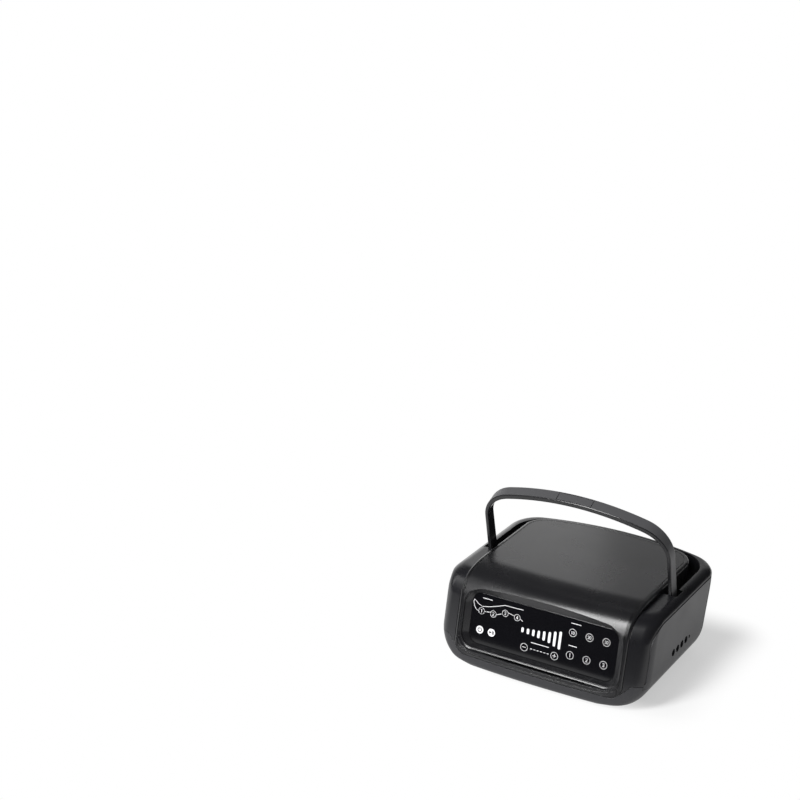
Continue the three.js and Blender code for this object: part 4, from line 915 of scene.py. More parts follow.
def side_panel(side, groove):
    """A panel flush with the body, with a sunk strip along its front, top and rear edges."""
    panel = keep(panel_recess(side, 0, PANEL_THICK), outside())
    strip = cut(panel_form("strip", side, WALL), panel_form("strip_inside", side, -groove),
                housing_form("strip_bottom", STRIP_DEPTH),
                block("strip_foot", (-FAR, -FAR, -FAR), (FAR, FAR, STRIP_FOOT)))
    return cut(panel, strip, *socket_bores(side, SIDE_REACH, FAR))


# Lid with the display
def lid_bends(inset):
    """The lid's front bend and the lead-in of its top, for the heights of its rings."""
    bend = LID_FRONT["top_bend"]
    return ((COVER_HEIGHT - bend, bend - inset, FRONT_RAKE, QUARTER - LEAD_TILT, 26),
            (COVER_HEIGHT - LEAD_RADIUS, LEAD_RADIUS - inset, QUARTER - LEAD_TILT, QUARTER, 10))


def lid_form(name, inset):
    """The lid's outer form, or the same form further in."""
    edge = max(LID_EDGE - inset, 0)
    edge_z = COVER_HEIGHT - LID_EDGE
    foot = LID_FRONT["foot_bend"]
    bends = ((LID_FOOT + foot, max(foot - inset, 0), -QUARTER, FRONT_RAKE, 6), *lid_bends(inset),
             (edge_z, edge, 0, QUARTER, 6))
    rings = []
    for z in levels(LID_FOOT + inset, COVER_HEIGHT - inset, bends, LID_STEP):
        back = inset + edge - chord(edge, max(z - edge_z, 0))
        rings.append(plan_ring(z, LID_HALF - back, lid_front_at(z, inset), LID_REAR - back,
                               LID_EDGE - inset, LID_CORNER - back, FRONT_BOW - inset, REAR_BOW - inset))
    return loft(name, rings)


def rounded_sides():
    """The lid's front, bend and top as one profile, drawn in over both side edges and well clear between."""
    heights = levels(RIM_HEIGHT / 2, COVER_HEIGHT, lid_bends(0), LID_STEP)
    line = [Vector((lid_front_at(z, 0), z)) for z in heights]
    line.insert(0, line[0] - (line[1] - line[0]).normalized() * COVER_HEIGHT)
    ends = line[:1] + line + line[-1:]
    slopes = [(b - a).normalized() for a, b in zip(ends, ends[2:])]
    rings = []
    for side in (-1, 1):
        for i in range(-1, 9)[::side]:
            turn = QUARTER * max(i, 0) / 8
            x = side * (LID_HALF - LID_ROUND * (1 - math.sin(turn)) + FIT_GAP / 10 + min(i, 0))
            drawn = LID_ROUND * (1 - math.cos(turn)) + min(i, 0) * 2 * LID_ROUND
            bow = FRONT_BOW - chord(FRONT_BOW, x)
            points = [(at.x + along.y * drawn + bow, at.y - along.x * drawn)
                      for at, along in zip(line, slopes)]
            top = COVER_HEIGHT - drawn
            points[-1:] = [(line[-1].x + bow, top), (FAR, top), (FAR, points[0][1])]
            rings.append([Vector((x, y, z)) for y, z in points])
    return loft("rounded_sides", rings)


def glass_point(x, s, n):
    """Across, up and out of the glass."""
    return GLASS_FOOT + Vector((x, 0, 0)) + GLASS_UP * s + GLASS_OUT * n


def frame_ring(n, half, foot, top, crown, foot_corner, top_corner):
    """A rounded frame at n out of the glass, with a crowned top."""
    shares = [1 - (i + 1) / 8 for i in range(15)]
    flat = (arc(-half + foot_corner, foot + foot_corner, foot_corner, -2 * QUARTER, -QUARTER, 14)
            + [((foot_corner - half) * share, foot) for share in shares]
            + arc(half - foot_corner, foot + foot_corner, foot_corner, -QUARTER, 0, 14)
            + arc(half - top_corner, top - top_corner, top_corner, 0, QUARTER, 14)
            + [((half - top_corner) * share, top + crown * (1 - share * share)) for share in shares]
            + arc(-half + top_corner, top - top_corner, top_corner, QUARTER, 2 * QUARTER, 14))
    return [glass_point(x, s, n) for x, s in flat]


def glass_ring(n, grow):
    corner = GLASS_CORNER + grow
    return frame_ring(n, GLASS_HALF + grow, -grow, GLASS_HEIGHT + grow, 0, corner, corner)


def rim_ring(n, grow):
    return frame_ring(n, GLASS_HALF + RIM_SIDE + grow, -RIM_FOOT - grow, GLASS_HEIGHT + RIM_TOP + grow,
                      RIM_CROWN, RIM_FOOT_CORNER + grow, RIM_TOP_CORNER + grow)


def lid():
    """The deep lid that runs down over the front bend and round the display."""
    seat = -GLASS_THICK - FIT_GAP
    turns = [QUARTER * i / ROLL_STEPS for i in range(ROLL_STEPS + 1)]
    roll = [rim_ring(RIM_CREST + RIM_ROLL * (1 - math.cos(turn)),
                     FIT_GAP + (RIM_ROLL - FIT_GAP) * math.sin(turn)) for turn in turns]
    far_out = RIM_CREST + 20
    recess = loft("recess", [glass_ring(seat, FIT_GAP), glass_ring(FIT_GAP, FIT_GAP), rim_ring(RIM_MOUTH, 0)]
                  + roll + [rim_ring(far_out, RIM_ROLL + 1)])
    tub = loft("rim_tub", [glass_ring(seat - 2, RIM_WALL), glass_ring(FIT_GAP, RIM_WALL),
                           rim_ring(RIM_MOUTH, RIM_WALL), rim_ring(far_out, RIM_WALL)])
    window = loft("window", [glass_ring(seat - 20, -GLASS_LEDGE), glass_ring(0, -GLASS_LEDGE)])
    fascia_back = front_line(0) + FASCIA_DEPTH
    skirt_foot = CHANNEL_FLOOR + FIT_GAP
    fascia_top = front_line(skirt_foot) + FASCIA_DEPTH
    behind = prism("behind_fascia", [(fascia_back, 0), (FAR, 0), (FAR, skirt_foot), (fascia_top, skirt_foot)],
                   -FAR, FAR, from_side)
    body = cut(lid_form("lid_moulding", 0), lid_form("lid_inside", LID_WALL), behind)
    body = join(body, keep(tub, lid_form("lid_outside", 0)))
    body = keep(body, prism("lid_foot", lid_foot_outline(0), -FAR, FAR, from_front), rounded_sides())
    reliefs = pair("relief", LID_HALF - 2 * COAMING_INSET, FAR, TROUGH_FRONT - FIT_GAP, TROUGH_BACK + FIT_GAP,
                   0, CHEEK_TOP + FIT_GAP)
    return cut(body, recess, window, *reliefs)


def lip_line(body, width):
    """A fine line just inside the lid's edge, round its top and sides, and one above its foot."""
    outline = cut(lid_space(-LIP_INSET, 0), lid_space(-LIP_INSET - width, -1),
                  lid_form("lip_bottom", LIP_DEPTH))
    foot = cut(prism("foot_line", lid_foot_outline(-LIP_RISE), -FAR, 0, from_front),
               prism("foot_line_inside", lid_foot_outline(-LIP_RISE - FOOT_LINE), -FAR, FAR, from_front),
               lid_form("foot_line_bottom", LIP_DEPTH))
    return cut(body, outline, foot)


# Print on the display: strokes and discs in glass coordinates, across and up in millimetres
def stroke_faces(points, width, closed=False, steps=10):
    """A drawn line of even width with round ends and joints, as flat faces."""
    verts, faces = [], []
    runs = list(zip(points, points[1:] + points[:1])) if closed else list(zip(points, points[1:]))
    for a, b in runs:
        along = Vector((b[0] - a[0], b[1] - a[1]))
        across = Vector((-along.y, along.x)).normalized() * width / 2
        start = len(verts)
        verts += [(a[0] + across.x, a[1] + across.y), (a[0] - across.x, a[1] - across.y),
                  (b[0] - across.x, b[1] - across.y), (b[0] + across.x, b[1] + across.y)]
        faces.append((start, start + 1, start + 2, start + 3))
    for x, y in points:
        start = len(verts)
        verts += arc(x, y, width / 2, 0, 4 * QUARTER, steps)[:-1]
        faces.append(tuple(range(start, start + steps)))
    return verts, faces


def disc_faces(x, y, radius, steps=48):
    return [(x + u, y + v) for u, v in circle(radius, steps)], [tuple(range(steps))]


def ring_faces(x, y, radius, width, steps=48):
    return stroke_faces([(x + u, y + v) for u, v in circle(radius - width / 2, steps)], width, True, 6)


def bar_faces(x, y, wide, high):
    r = min(wide, high) / 2 * 0.9
    outline = []
    for i, (across, up) in enumerate(((1, 1), (-1, 1), (-1, -1), (1, -1))):
        outline += arc(x + across * (wide / 2 - r), y + up * (high / 2 - r), r,
                       i * QUARTER, (i + 1) * QUARTER, 6)
    return outline, [tuple(range(len(outline)))]


def print_on_glass(name, parts, lift):
    """One flat piece of print from lists of points and faces."""
    verts, faces = [], []
    for points, polygons in parts:
        start = len(verts)
        verts += [glass_point(x, s, lift) for x, s in points]
        faces += [tuple(start + i for i in polygon) for polygon in polygons]
    piece = new_object(name, verts, faces)
    if piece.data.polygons[0].normal.dot(GLASS_OUT) < 0:
        piece.data.flip_normals()
    return piece


# Figures as strokes one unit high, and whether the stroke closes
DIGITS = {
    "0": (arc(0, 0.25, 0.25, 0, 2 * QUARTER, 6) + arc(0, -0.25, 0.25, 2 * QUARTER, 4 * QUARTER, 6), True),
    "1": ([(-0.16, 0.3), (0.04, 0.5), (0.04, -0.5)], False),
    "2": (arc(0, 0.24, 0.26, 2 * QUARTER, -0.4, 7) + [(-0.26, -0.5), (0.28, -0.5)], False),
    "3": (arc(-0.02, 0.26, 0.24, 1.8 * QUARTER, -QUARTER, 7)
          + arc(-0.02, -0.24, 0.26, QUARTER, -1.8 * QUARTER, 7), False),
    "4": ([(0.14, -0.5), (0.14, 0.5), (-0.3, -0.2), (0.32, -0.2)], False),
}


def number_parts(text, x, y, high, width):
    """Plain figures, centred on x and y."""
    parts = []
    for i, figure in enumerate(text):
        points, closed = DIGITS[figure]
        at = x + (i - (len(text) - 1) / 2) * high * FIGURE_PITCH
        parts.append(stroke_faces([(at + u * high, y + v * high) for u, v in points], width, closed, 6))
    return parts


def white_print(line):
    """Every white mark: leg outline with its positions, keys, level bars, dashes and the numbered choices."""
    parts = []
    for number, (x, s) in enumerate(LEG_POSITIONS, 1):
        parts += [ring_faces(x, s, POSITION_RADIUS, line),
                  *number_parts(str(number), x, s, POSITION_FIGURE, line)]
    parts += [stroke_faces(points, line) for points in (LEG_TOP, LEG_SOLE, *LEG_UNDER)]
    parts += [disc_faces(x, s, KEY_RADIUS) for x, s in KEY_DISCS]
    parts += [bar_faces(x, BAR_MIDDLE, BAR_WIDTH, high) for x, high in zip(BAR_X, BAR_HIGH)]
    for x, s in PRESSURE_KEYS:
        parts += [ring_faces(x, s, KEY_RADIUS, line),
                  stroke_faces([(x - MARK_REACH, s), (x + MARK_REACH, s)], line)]
    # The last of the two is the plus
    parts.append(stroke_faces([(x, s - MARK_REACH), (x, s + MARK_REACH)], line))
    parts += [bar_faces(DASH_FIRST + i * DASH_PITCH, DASH_HEIGHT, *DASH_SIZE) for i in range(DASH_COUNT)]
    for s, texts, high in CHOICES:
        for x, text in zip(CHOICE_X, texts):
            parts += [ring_faces(x, s, KEY_RADIUS, line), *number_parts(text, x, s, high, line)]
    return parts + [bar_faces(x, s, long, CAPTION_HIGH) for x, s, long in CAPTIONS]


def key_symbols(line):
    """Power and play or pause marks, printed dark on the two solid keys."""
    (px, ps), (qx, qs) = KEY_DISCS
    strokes = [arc(px, ps, 2.3, QUARTER + 0.6, 5 * QUARTER - 0.6, 24), [(px, ps + 0.4), (px, ps + 2.8)]]
    pause = [[(qx + u, qs + 1.6), (qx + u, qs - 1.6)] for u in (1.2, 2.5)]
    play = [(qx - 2.6, qs + 1.8), (qx - 2.6, qs - 1.8), (qx + 0.3, qs)]
    return [*(stroke_faces(points, line) for points in strokes), (play, [(0, 1, 2)]),
            *(stroke_faces(points, line) for points in pause)]


# Handle, made in its own plane and then leaned forward onto its pivots
def at_pivot(x, y, z):
    return Matrix.Rotation(HANDLE_LEAN, 3, "X") @ Vector((x, y, z)) + Vector((0, PIVOT_Y, PIVOT_Z))


# An outer face's normal points hardly to the front or rear, and mostly away; these faces get the lighter grip
# grey, painted light that stands in for the light falling on the handle's top and outer sides
PAINTED_LIGHT_SIDEWAYS = 0.45
PAINTED_LIGHT_AWAY = 0.4


def faces_out(face):
    """Whether a face of the handle lies on its outer side, away from the middle of its loop; these faces are
    painted lighter, as painted light.
    """
    back = Matrix.Rotation(-HANDLE_LEAN, 3, "X")
    normal = back @ face.normal
    middle = back @ (Vector(face.center) / MM - Vector((0, PIVOT_Y, PIVOT_Z)))
    away = Vector((middle.x, 0, middle.z - HANDLE_CORNER)).normalized()
    return middle.z > HUB_RADIUS and abs(normal.y) < PAINTED_LIGHT_SIDEWAYS and normal.dot(away) > PAINTED_LIGHT_AWAY


def bow_line(inset):
    """The handle's line from one foot over the bar to the other."""
    end = bowed_end(CHANNEL_HALF - HANDLE_CLEAR - inset, CHANNEL_REAR - HANDLE_CLEAR - PIVOT_Y - inset,
                    HANDLE_CORNER - inset, CHANNEL_BOW - HANDLE_CLEAR - inset, CORNER_STEPS, BAR_STEPS)
    half, high = end[0]
    arm = [(half, high * i / ARM_STEPS) for i in range(ARM_STEPS)]
    return arm + end + [(-x, z) for x, z in reversed(arm)]


def mixed(a, b, share):
    return a + (b - a) * share


def corner_share(i, last):
    """How far the line has come round its nearer corner, from 0 at the arm to 1 at the bar."""
    t = min(max((min(i, last - i) - ARM_STEPS) / CORNER_STEPS, 0), 1)
    return t * t * (3 - 2 * t)


def band(name, outer, inner, depth_at, edge, steps=5, drop_at=lambda i: 0):
    """A band between two lines in the handle's plane, its long edges eased and its front one dropped."""
    rings = []
    for i, ((ox, oz), (ix, iz)) in enumerate(zip(outer, inner)):
        thick = math.hypot(ox - ix, oz - iz)
        d = depth_at(i) / 2
        r = min(edge, thick / 4, d / 3)
        middles = (r + drop_at(i), r - d), (thick - r, r - d), (thick - r, d - r), (r, d - r)
        section = []
        for k, (t, y) in enumerate(middles):
            section += arc(t, y, r, (k - 2) * QUARTER, (k - 1) * QUARTER, steps)
        rings.append([at_pivot(mixed(ox, ix, t / thick), y, mixed(oz, iz, t / thick)) for t, y in section])
    return loft(name, rings)


def bail_lines():
    """Outer and inner line of the bail: slim in the arms, deeper over the top."""
    outer = bow_line(0)
    arm, bar = bow_line(HANDLE_ARM), bow_line(HANDLE_BAR)
    last = len(outer) - 1
    inner = []
    for i in range(len(outer)):
        share = corner_share(i, last)
        inner.append((mixed(arm[i][0], bar[i][0], share), mixed(arm[i][1], bar[i][1], share)))
    return outer, inner


def liner_band(name, grow, below):
    """The grip liner let into the underside of the bar."""
    outer, inner = bail_lines()
    span = [i for i in range(len(outer)) if abs(outer[i][0]) < CHANNEL_HALF - LINER_END]

    def towards(i, length):
        (ax, az), (bx, bz) = inner[i], outer[i]
        share = length / math.hypot(bx - ax, bz - az)
        return (mixed(ax, bx, share), mixed(az, bz, share))

    return band(name, [towards(i, LINER_THICK + grow) for i in span], [towards(i, -below) for i in span],
                lambda i: HANDLE_DEPTH - 2 * (LINER_SIDE - grow), LINER_EDGE, 3)


def inlay_block(name, grow):
    """The thin trim plate's form on the outside of the bar, open outwards; grow makes its seat."""
    reach = CHANNEL_REAR - HANDLE_CLEAR - PIVOT_Y
    bow = CHANNEL_BOW - HANDLE_CLEAR
    seat = reach - bow + chord(bow, INLAY_HALF) - INLAY_THICK
    half, deep = INLAY_HALF + grow, INLAY_DEPTH + grow
    outline = [(-half, -deep), (half, -deep), (half, deep), (-half, deep)]
    return prism(name, outline, seat - grow, reach + INLAY_OPEN,
                 lambda u, v, w: at_pivot(u, v, w - (HANDLE_DEPTH / 2 - v) * HANDLE_SLOPE))


def full_band(name):
    outer, inner = bail_lines()
    last = len(outer) - 1

    def depth(i):
        return mixed(HANDLE_FOOT_DEPTH, HANDLE_DEPTH, min(1, min(i, last - i) / ARM_STEPS))

    def drop(i):
        return HANDLE_SLOPE * HANDLE_DEPTH * corner_share(i, last)

    return band(name, outer, inner, depth, HANDLE_EDGE, drop_at=drop)


def bail():
    hubs = pivot_bars("hub", HUB_RADIUS, HUB_X - HUB_LENGTH / 2, HUB_X + HUB_LENGTH / 2, 64)
    bores = pivot_bars("hub_bore", PIN_RADIUS + FIT_GAP / 2, HUB_X - HUB_LENGTH, HUB_X + HUB_LENGTH)
    body = join(full_band("handle_moulding"), *hubs)
    return cut(body, liner_band("liner_seat", FIT_GAP, 5), inlay_block("inlay_seat", FIT_GAP), *bores)


# Socket block, feet and inlet
def socket_block(side):
    """Moulded block behind the panel: four hose sockets, each with a narrow air way, and the key's hole."""
    inner = BLOCK_FACE - BLOCK_DEPTH
    body = block("socket_block", (side * inner, PORT_Y[0] - BLOCK_MARGIN, PORT_Z - BLOCK_HEIGHT / 2),
                 (side * BLOCK_FACE, KEY_Y + BLOCK_MARGIN, PORT_Z + BLOCK_HEIGHT / 2))
    ways = [round_bar("way", AIR_WAY / 2, (side * (inner - BORE_OVERRUN), y, PORT_Z),
                      (side * INNER_X, y, PORT_Z)) for y in PORT_Y]
    return cut(body, *socket_bores(side, BLOCK_FACE - SOCKET_DEPTH, BLOCK_FACE + BORE_OVERRUN), *ways)


def foot_pad(x, y):
    """A soft round foot, its lower edge rounded and its face a little dished."""
    high = FOOT_DROP + FOOT_RECESS - FIT_GAP
    profile = [(0, 0.3), (FOOT_RADIUS - 3, 0.3), (FOOT_RADIUS - 2.6, 0)]
    profile += [(FOOT_RADIUS - 1 + u, 1 + v) for u, v in arc(0, 0, 1, -QUARTER, 0, 6)]
    return turned("foot_pad", profile + [(FOOT_RADIUS, high), (0, high)], (x, y, 0), (0, 0, 1))


def inlet_socket():
    """Two-pin mains socket, square to the raked rear face."""
    body = join(prism("inlet", inlet_outline(0), -INLET_DEPTH, INLET_LIP / 2, at_inlet),
                prism("flange", inlet_outline(INLET_FLANGE), FIT_GAP, INLET_LIP, at_inlet))
    mouth = prism("mouth", inlet_outline(-INLET_WALL), -INLET_DEPTH + INLET_WALL, 20, at_inlet)
    pins = both_sides(lambda side: prism(
        "pin_way", [(side * INLET_PIN_X + u, v) for u, v in circle(INLET_PIN_BORE / 2, 24)],
        -INLET_DEPTH - 20, 0, at_inlet))
    return cut(body, mouth, *pins)


# Sizes and colours that a user would change
def size_property(name, description, value, low, high):
    return bpy.props.FloatProperty(name=name, description=description, default=value * MM, min=low * MM,
                                   max=high * MM, subtype="DISTANCE", unit="LENGTH", precision=5)


class PumpSizes(bpy.types.PropertyGroup):
    """Fine sizes of the moulded lines and the print."""
    groove: size_property("Panel strip", "Width of the sunk strip along each side panel's edge", 1.8, 0.1, 2)
    lip: size_property("Lid line", "Width of the fine line inside the lid's edge", 0.8, 0.1, 2)
    print_line: size_property("Print line", "Width of the lines printed on the display", 0.55, 0.2, 1.5)


def colour_property(name, description, hex_value):
    return bpy.props.FloatVectorProperty(name=name, description=description, subtype="COLOR", size=4,
                                         min=0, max=1, default=linear_colour(hex_value))


class PumpColours(bpy.types.PropertyGroup):
    """Colours of the visible plastics and of the print."""
    shell: colour_property("Shell", "Outer band, shoulders and rear wall", "17171a")
    lid: colour_property("Lid", "Lid and display surround", "1b1b1d")
    base: colour_property("Base", "Base tub with the chin", "27272a")
    panel: colour_property("Side panels", "Matt panels in the sides", "2b2b2e")
    handle: colour_property("Handle", "Glossy sides of the carrying handle", "19191b")
    # Partly a matt grip finish on the inlay, partly painted light: on the handle's outer faces this lighter
    # grey stands in for the light falling on them
    grip: colour_property("Grip", "Matt outer face of the carrying handle", "474749")
    glass: colour_property("Display", "Back print of the display", "0c0c0f")
    ink: colour_property("Print", "White print on the display", "e8e8ea")


finishes = {}


class PieceOperator:
    """Shared by the operators that make one piece or a group of like pieces."""
    bl_options = {"REGISTER", "UNDO"}

    def execute(self, context):
        if not finishes:
            finishes.update(mix_finishes(context.scene.pump_colours))
        self.make(context.scene.pump_sizes)
        return {"FINISHED"}


class PUMP_OT_shell(PieceOperator, bpy.types.Operator):
    """Make the outer shell and the handle's channel in it"""
    bl_idname = "pump.shell"
    bl_label = "Shell and channel"

    def make(self, sizes):
        finish_surface(outer_shell(), "shell_plastic", "housing", "outer_shell")
        finish_surface(handle_channel(), "shell_plastic", "housing", "handle_channel")


class PUMP_OT_base(PieceOperator, bpy.types.Operator):
    """Make the base tub and its feet"""
    bl_idname = "pump.base"
    bl_label = "Base and feet"

    def make(self, sizes):
        tub = finish_surface(base_tub(), "chin_plastic", "housing", "base_shell")
        names = ("foot_front_left", "foot_rear_left", "foot_front_right", "foot_rear_right")
        for (x, y), name in zip(FEET, names):
            finish_surface(foot_pad(x, y), "rubber", "housing", name)


class PUMP_OT_panels(PieceOperator, bpy.types.Operator):
    """Make the side panels and the socket blocks behind them"""
    bl_idname = "pump.panels"
    bl_label = "Side panels and sockets"

    def make(self, sizes):
        for side, name in ((-1, "left"), (1, "right")):
            panel = side_panel(side, sizes.groove / MM)
            finish_surface(panel, "panel_plastic", "housing", "side_panel_" + name)
            sockets = finish_surface(socket_block(side), "socket_nylon", "housing", "port_block_" + name)


class PUMP_OT_lid(PieceOperator, bpy.types.Operator):
    """Make the lid with the display's rim"""
    bl_idname = "pump.lid"
    bl_label = "Lid"

    def make(self, sizes):
        finish_surface(lip_line(lid(), sizes.lip / MM), "cover_plastic", "housing", "top_cover")


class PUMP_OT_display(PieceOperator, bpy.types.Operator):
    """Make the touch panel and its print"""
    bl_idname = "pump.display"
    bl_label = "Display"

    def make(self, sizes):
        glass = loft("touch_glass", [glass_ring(-GLASS_THICK, 0), glass_ring(-GLASS_EDGE, 0),
                                     glass_ring(0, -GLASS_EDGE)])
        finish_surface(glass, "display_glass", "housing", "touch_panel")
        line = sizes.print_line / MM
        symbols = key_symbols(line * SYMBOL_WEIGHT)
        for name, parts, lift, finish in (("white_print", white_print(line), PRINT_LIFT, "ink"),
                                          ("key_symbols", symbols, SYMBOL_LIFT, "display_glass")):
            piece = finish_surface(print_on_glass(name, parts, lift), finish, "housing")


class PUMP_OT_handle(PieceOperator, bpy.types.Operator):
    """Make the folding handle with its grip liner and inlay"""
    bl_idname = "pump.handle"
    bl_label = "Handle"

    def make(self, sizes):
        frame_bar = finish_surface(bail(), "handle_plastic", "handle", "handle_bail")
        # The outer faces take the lighter grip grey: painted light on the bail's top and outer sides
        frame_bar.data.materials.append(finishes["grip_plastic"])
        for face in frame_bar.data.polygons:
            face.material_index = int(faces_out(face))
        finish_surface(liner_band("grip_liner", 0, 0), "handle_plastic", "handle", "handle_liner")
        inlay = keep(inlay_block("handle_plate", -INLAY_SHRINK), full_band("plate_form"))
        finish_surface(inlay, "grip_plastic", "handle", "handle_inlay")


class PUMP_OT_inlet(PieceOperator, bpy.types.Operator):
    """Make the mains socket in the rear"""
    bl_idname = "pump.inlet"
    bl_label = "Mains socket"

    def make(self, sizes):
        socket = finish_surface(inlet_socket(), "socket_nylon", "housing", "mains_inlet")


class PUMP_OT_works(PieceOperator, bpy.types.Operator):
    """Give the frame's own pieces their finishes"""
    bl_idname = "pump.works"
    bl_label = "Works inside"

    def make(self, sizes):
        slots = {part["node"]: part["material_slot"] for part in frame["record"]["subparts"]}
        for name, node in frame["nodes"].items():
            node.data.materials.clear()
            node.data.materials.append(finishes[slots[name]])


class PUMP_OT_stage(bpy.types.Operator):
    """Set the camera, the pale floor and the soft light"""
    bl_idname = "pump.stage"
    bl_label = "Stage"

    def execute(self, context):
        scene = context.scene
        scene.view_settings.view_transform = "Standard"
        camera = bpy.data.objects.new("camera", bpy.data.cameras.new("camera"))
        scene.collection.objects.link(camera)
        camera.data.lens = CAMERA_LENS
        camera.data.sensor_width = CAMERA_SENSOR
        camera.location = Vector(CAMERA_PLACE) * MM
        look = Vector((-math.sin(CAMERA_AZIMUTH) * math.cos(CAMERA_ELEVATION),
                       math.cos(CAMERA_AZIMUTH) * math.cos(CAMERA_ELEVATION), -math.sin(CAMERA_ELEVATION)))
        camera.rotation_euler = look.to_track_quat("-Z", "Y").to_euler()
        scene.camera = camera
        pale_floor()
        pale_world(scene)
        for lamp in LAMPS:
            soft_lamp(scene, *lamp)
        return {"FINISHED"}


# Place, aim and size in metres and power in watts of each soft lamp
LAMPS = (("key", (-0.36, -0.935, 0.86), (0, -0.09, 0.09), (0.36, 1.0), 20),
         ("left strip", (-1.06, -0.39, 0.71), (0, 0, 0.09), (0.2, 0.9), 1.6),
         ("rear panel", (-0.71, 0.56, 0.265), (-0.71, -1, 0.265), (0.96, 0.49), 0.9))


def soft_lamp(scene, name, place, aim, size, power):
    lamp = bpy.data.lights.new(name, "AREA")
    lamp.shape = "RECTANGLE"
    lamp.size, lamp.size_y = size
    lamp.energy = power
    holder = bpy.data.objects.new(name, lamp)
    holder.location = place
    holder.rotation_euler = (Vector(aim) - Vector(place)).to_track_quat("-Z", "Y").to_euler()
    scene.collection.objects.link(holder)


def maths(tree, operation, *values, kind="ShaderNodeMath"):
    """The result of a maths node, its values in order."""
    inputs = {f"_{i}": value for i, value in enumerate(values)}
    node = add_node(tree, kind, {"operation": operation}, **inputs)
    return node.outputs["Value" if kind == "ShaderNodeMath" or operation == "LENGTH" else "Vector"]


def vectors(tree, operation, *values):
    return maths(tree, operation, *values, kind="ShaderNodeVectorMath")


def fade(tree, value, low, high, start, end):
    """A smooth change from start to end as the value goes from low to high."""
    return add_node(tree, "ShaderNodeMapRange", {"interpolation_type": "SMOOTHSTEP"}, Value=value,
                    From_Min=low, From_Max=high, To_Min=start, To_Max=end).outputs["Result"]


def pale_floor():
    """A white floor that keeps the shadow near the object and shows white to the eye and in reflections."""
    corners = [(-FLOOR_REACH, FLOOR_EDGE, 0), (FLOOR_REACH, FLOOR_EDGE, 0), (FLOOR_REACH, FLOOR_REACH, 0),
               (-FLOOR_REACH, FLOOR_REACH, 0)]
    floor = new_object("floor", corners, [(0, 1, 2, 3)])
    material, tree, shader = new_material("white_floor", linear_colour("f0f0f0"), 0.8, Specular_IOR_Level=0.1)
    rays = add_node(tree, "ShaderNodeLightPath").outputs
    seen = maths(tree, "MAXIMUM", rays["Is Camera Ray"], rays["Is Glossy Ray"])
    place = add_node(tree, "ShaderNodeTexCoord").outputs["Object"]
    aside = vectors(tree, "ABSOLUTE", vectors(tree, "SUBTRACT", place, Vector(SHADOW_MIDDLE) * MM))
    past = vectors(tree, "SUBTRACT", aside, Vector(SHADOW_HALF) * MM)
    reach = vectors(tree, "LENGTH", vectors(tree, "MAXIMUM", past, (0, 0, 0)))
    share = maths(tree, "MULTIPLY", seen, fade(tree, reach, 0.0, SHADOW_FADE * MM, FLOOR_GLOW, 1.0))
    glow = add_node(tree, "ShaderNodeEmission", Color=(1, 1, 1, 1), Strength=1.0)
    both = add_node(tree, "ShaderNodeMixShader", _0=share, _1=shader.outputs["BSDF"],
                    _2=glow.outputs["Emission"])
    output = next(node for node in tree.nodes if node.type == "OUTPUT_MATERIAL")
    tree.links.new(both.outputs["Shader"], output.inputs["Surface"])
    floor.data.materials.append(material)


# The floor's own shadow shows in a block round this middle and is gone at this distance from it
SHADOW_MIDDLE = (50, 20, 0)
SHADOW_HALF = (80, 85, 1)
SHADOW_FADE = 65
FLOOR_GLOW = 0.48
# Its front edge, beyond which the camera sees white and the object reflects the dim room, and how far it runs
FLOOR_EDGE = -300
FLOOR_REACH = 6000
# The studio: a white wall low behind the object on the left, dim elsewhere, and its soft light
WALL_LOW = 0.3
WALL_TOP = 0.55
WALL_BEHIND = (-0.1, 0.4)
WALL_LEFT = (-0.3, 0.2)
ROOM_GLOSS = 0.03
ROOM_LIGHT = 0.35


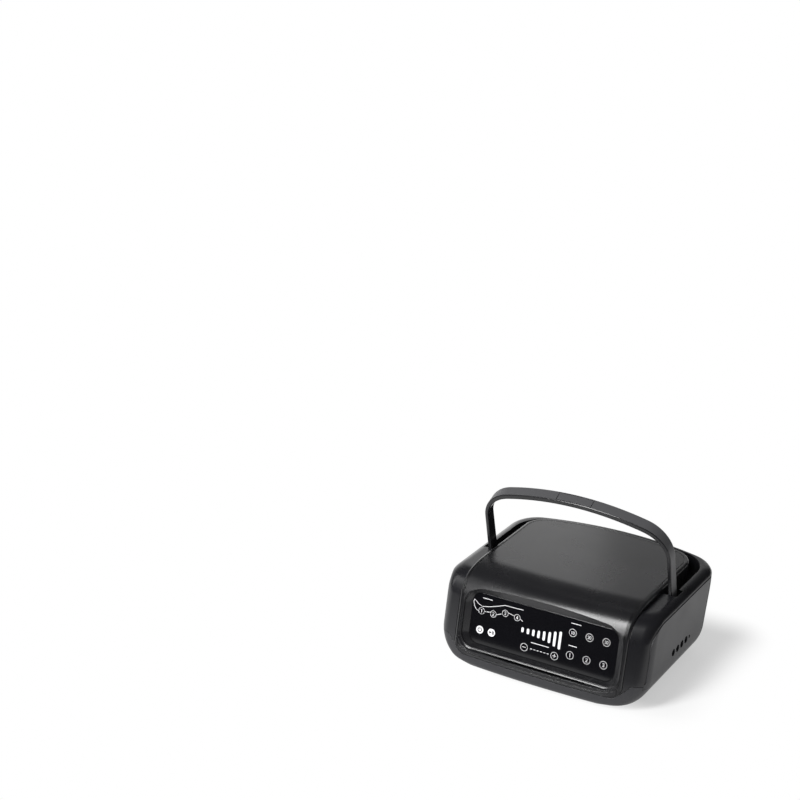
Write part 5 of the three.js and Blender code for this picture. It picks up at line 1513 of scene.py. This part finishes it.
def pale_world(scene):
    """White wall behind the object, also in its reflections; a dim room in front and above."""
    world = bpy.data.worlds.new("white_room")
    scene.world = world
    world.use_nodes = True
    tree = world.node_tree
    tree.nodes.clear()
    rays = add_node(tree, "ShaderNodeLightPath").outputs
    seen = maths(tree, "MAXIMUM", rays["Is Camera Ray"], rays["Is Transmission Ray"])
    way = add_node(tree, "ShaderNodeSeparateXYZ",
                   Vector=add_node(tree, "ShaderNodeTexCoord").outputs["Generated"]).outputs
    behind = fade(tree, way["Y"], *WALL_BEHIND, 0.0, 1.0)
    low = fade(tree, way["Z"], WALL_LOW, WALL_TOP, 1.0, 0.0)
    left = fade(tree, way["X"], *WALL_LEFT, 1.0, 0.0)
    wall = maths(tree, "MULTIPLY", maths(tree, "MULTIPLY", behind, low), left)
    room = add_node(tree, "ShaderNodeMapRange", Value=wall, To_Min=ROOM_GLOSS, To_Max=1.0).outputs["Result"]
    gloss = add_node(tree, "ShaderNodeMix", Factor=rays["Is Glossy Ray"], _2=ROOM_LIGHT, _3=room).outputs[0]
    level = add_node(tree, "ShaderNodeMix", Factor=seen, _2=gloss, _3=1.0).outputs[0]
    white = add_node(tree, "ShaderNodeBackground", Color=(1, 1, 1, 1), Strength=level)
    add_node(tree, "ShaderNodeOutputWorld", Surface=white.outputs["Background"])


STEPS = (PUMP_OT_works, PUMP_OT_shell, PUMP_OT_base, PUMP_OT_panels, PUMP_OT_lid, PUMP_OT_display,
         PUMP_OT_handle, PUMP_OT_inlet, PUMP_OT_stage)


class PUMP_PT_builder(bpy.types.Panel):
    """Sizes, colours and the pieces to make"""
    bl_idname = "PUMP_PT_builder"
    bl_label = "Therapy pump"
    bl_space_type = "VIEW_3D"
    bl_region_type = "UI"
    bl_category = "Pump"

    def draw(self, context):
        for group in (context.scene.pump_sizes, context.scene.pump_colours):
            column = self.layout.column(align=True)
            for name in group.__annotations__:
                column.prop(group, name)
        for step in STEPS:
            self.layout.operator(step.bl_idname)


def register():
    for kind in (PumpSizes, PumpColours, *STEPS, PUMP_PT_builder):
        bpy.utils.register_class(kind)
    bpy.types.Scene.pump_sizes = bpy.props.PointerProperty(type=PumpSizes)
    bpy.types.Scene.pump_colours = bpy.props.PointerProperty(type=PumpColours)


def unregister():
    del bpy.types.Scene.pump_colours
    del bpy.types.Scene.pump_sizes
    for kind in (PUMP_PT_builder, *reversed(STEPS), PumpColours, PumpSizes):
        bpy.utils.unregister_class(kind)


def main():
    register()
    for step in STEPS:
        group, name = step.bl_idname.split(".")
        getattr(getattr(bpy.ops, group), name)()


if __name__ == "__main__":
    main()
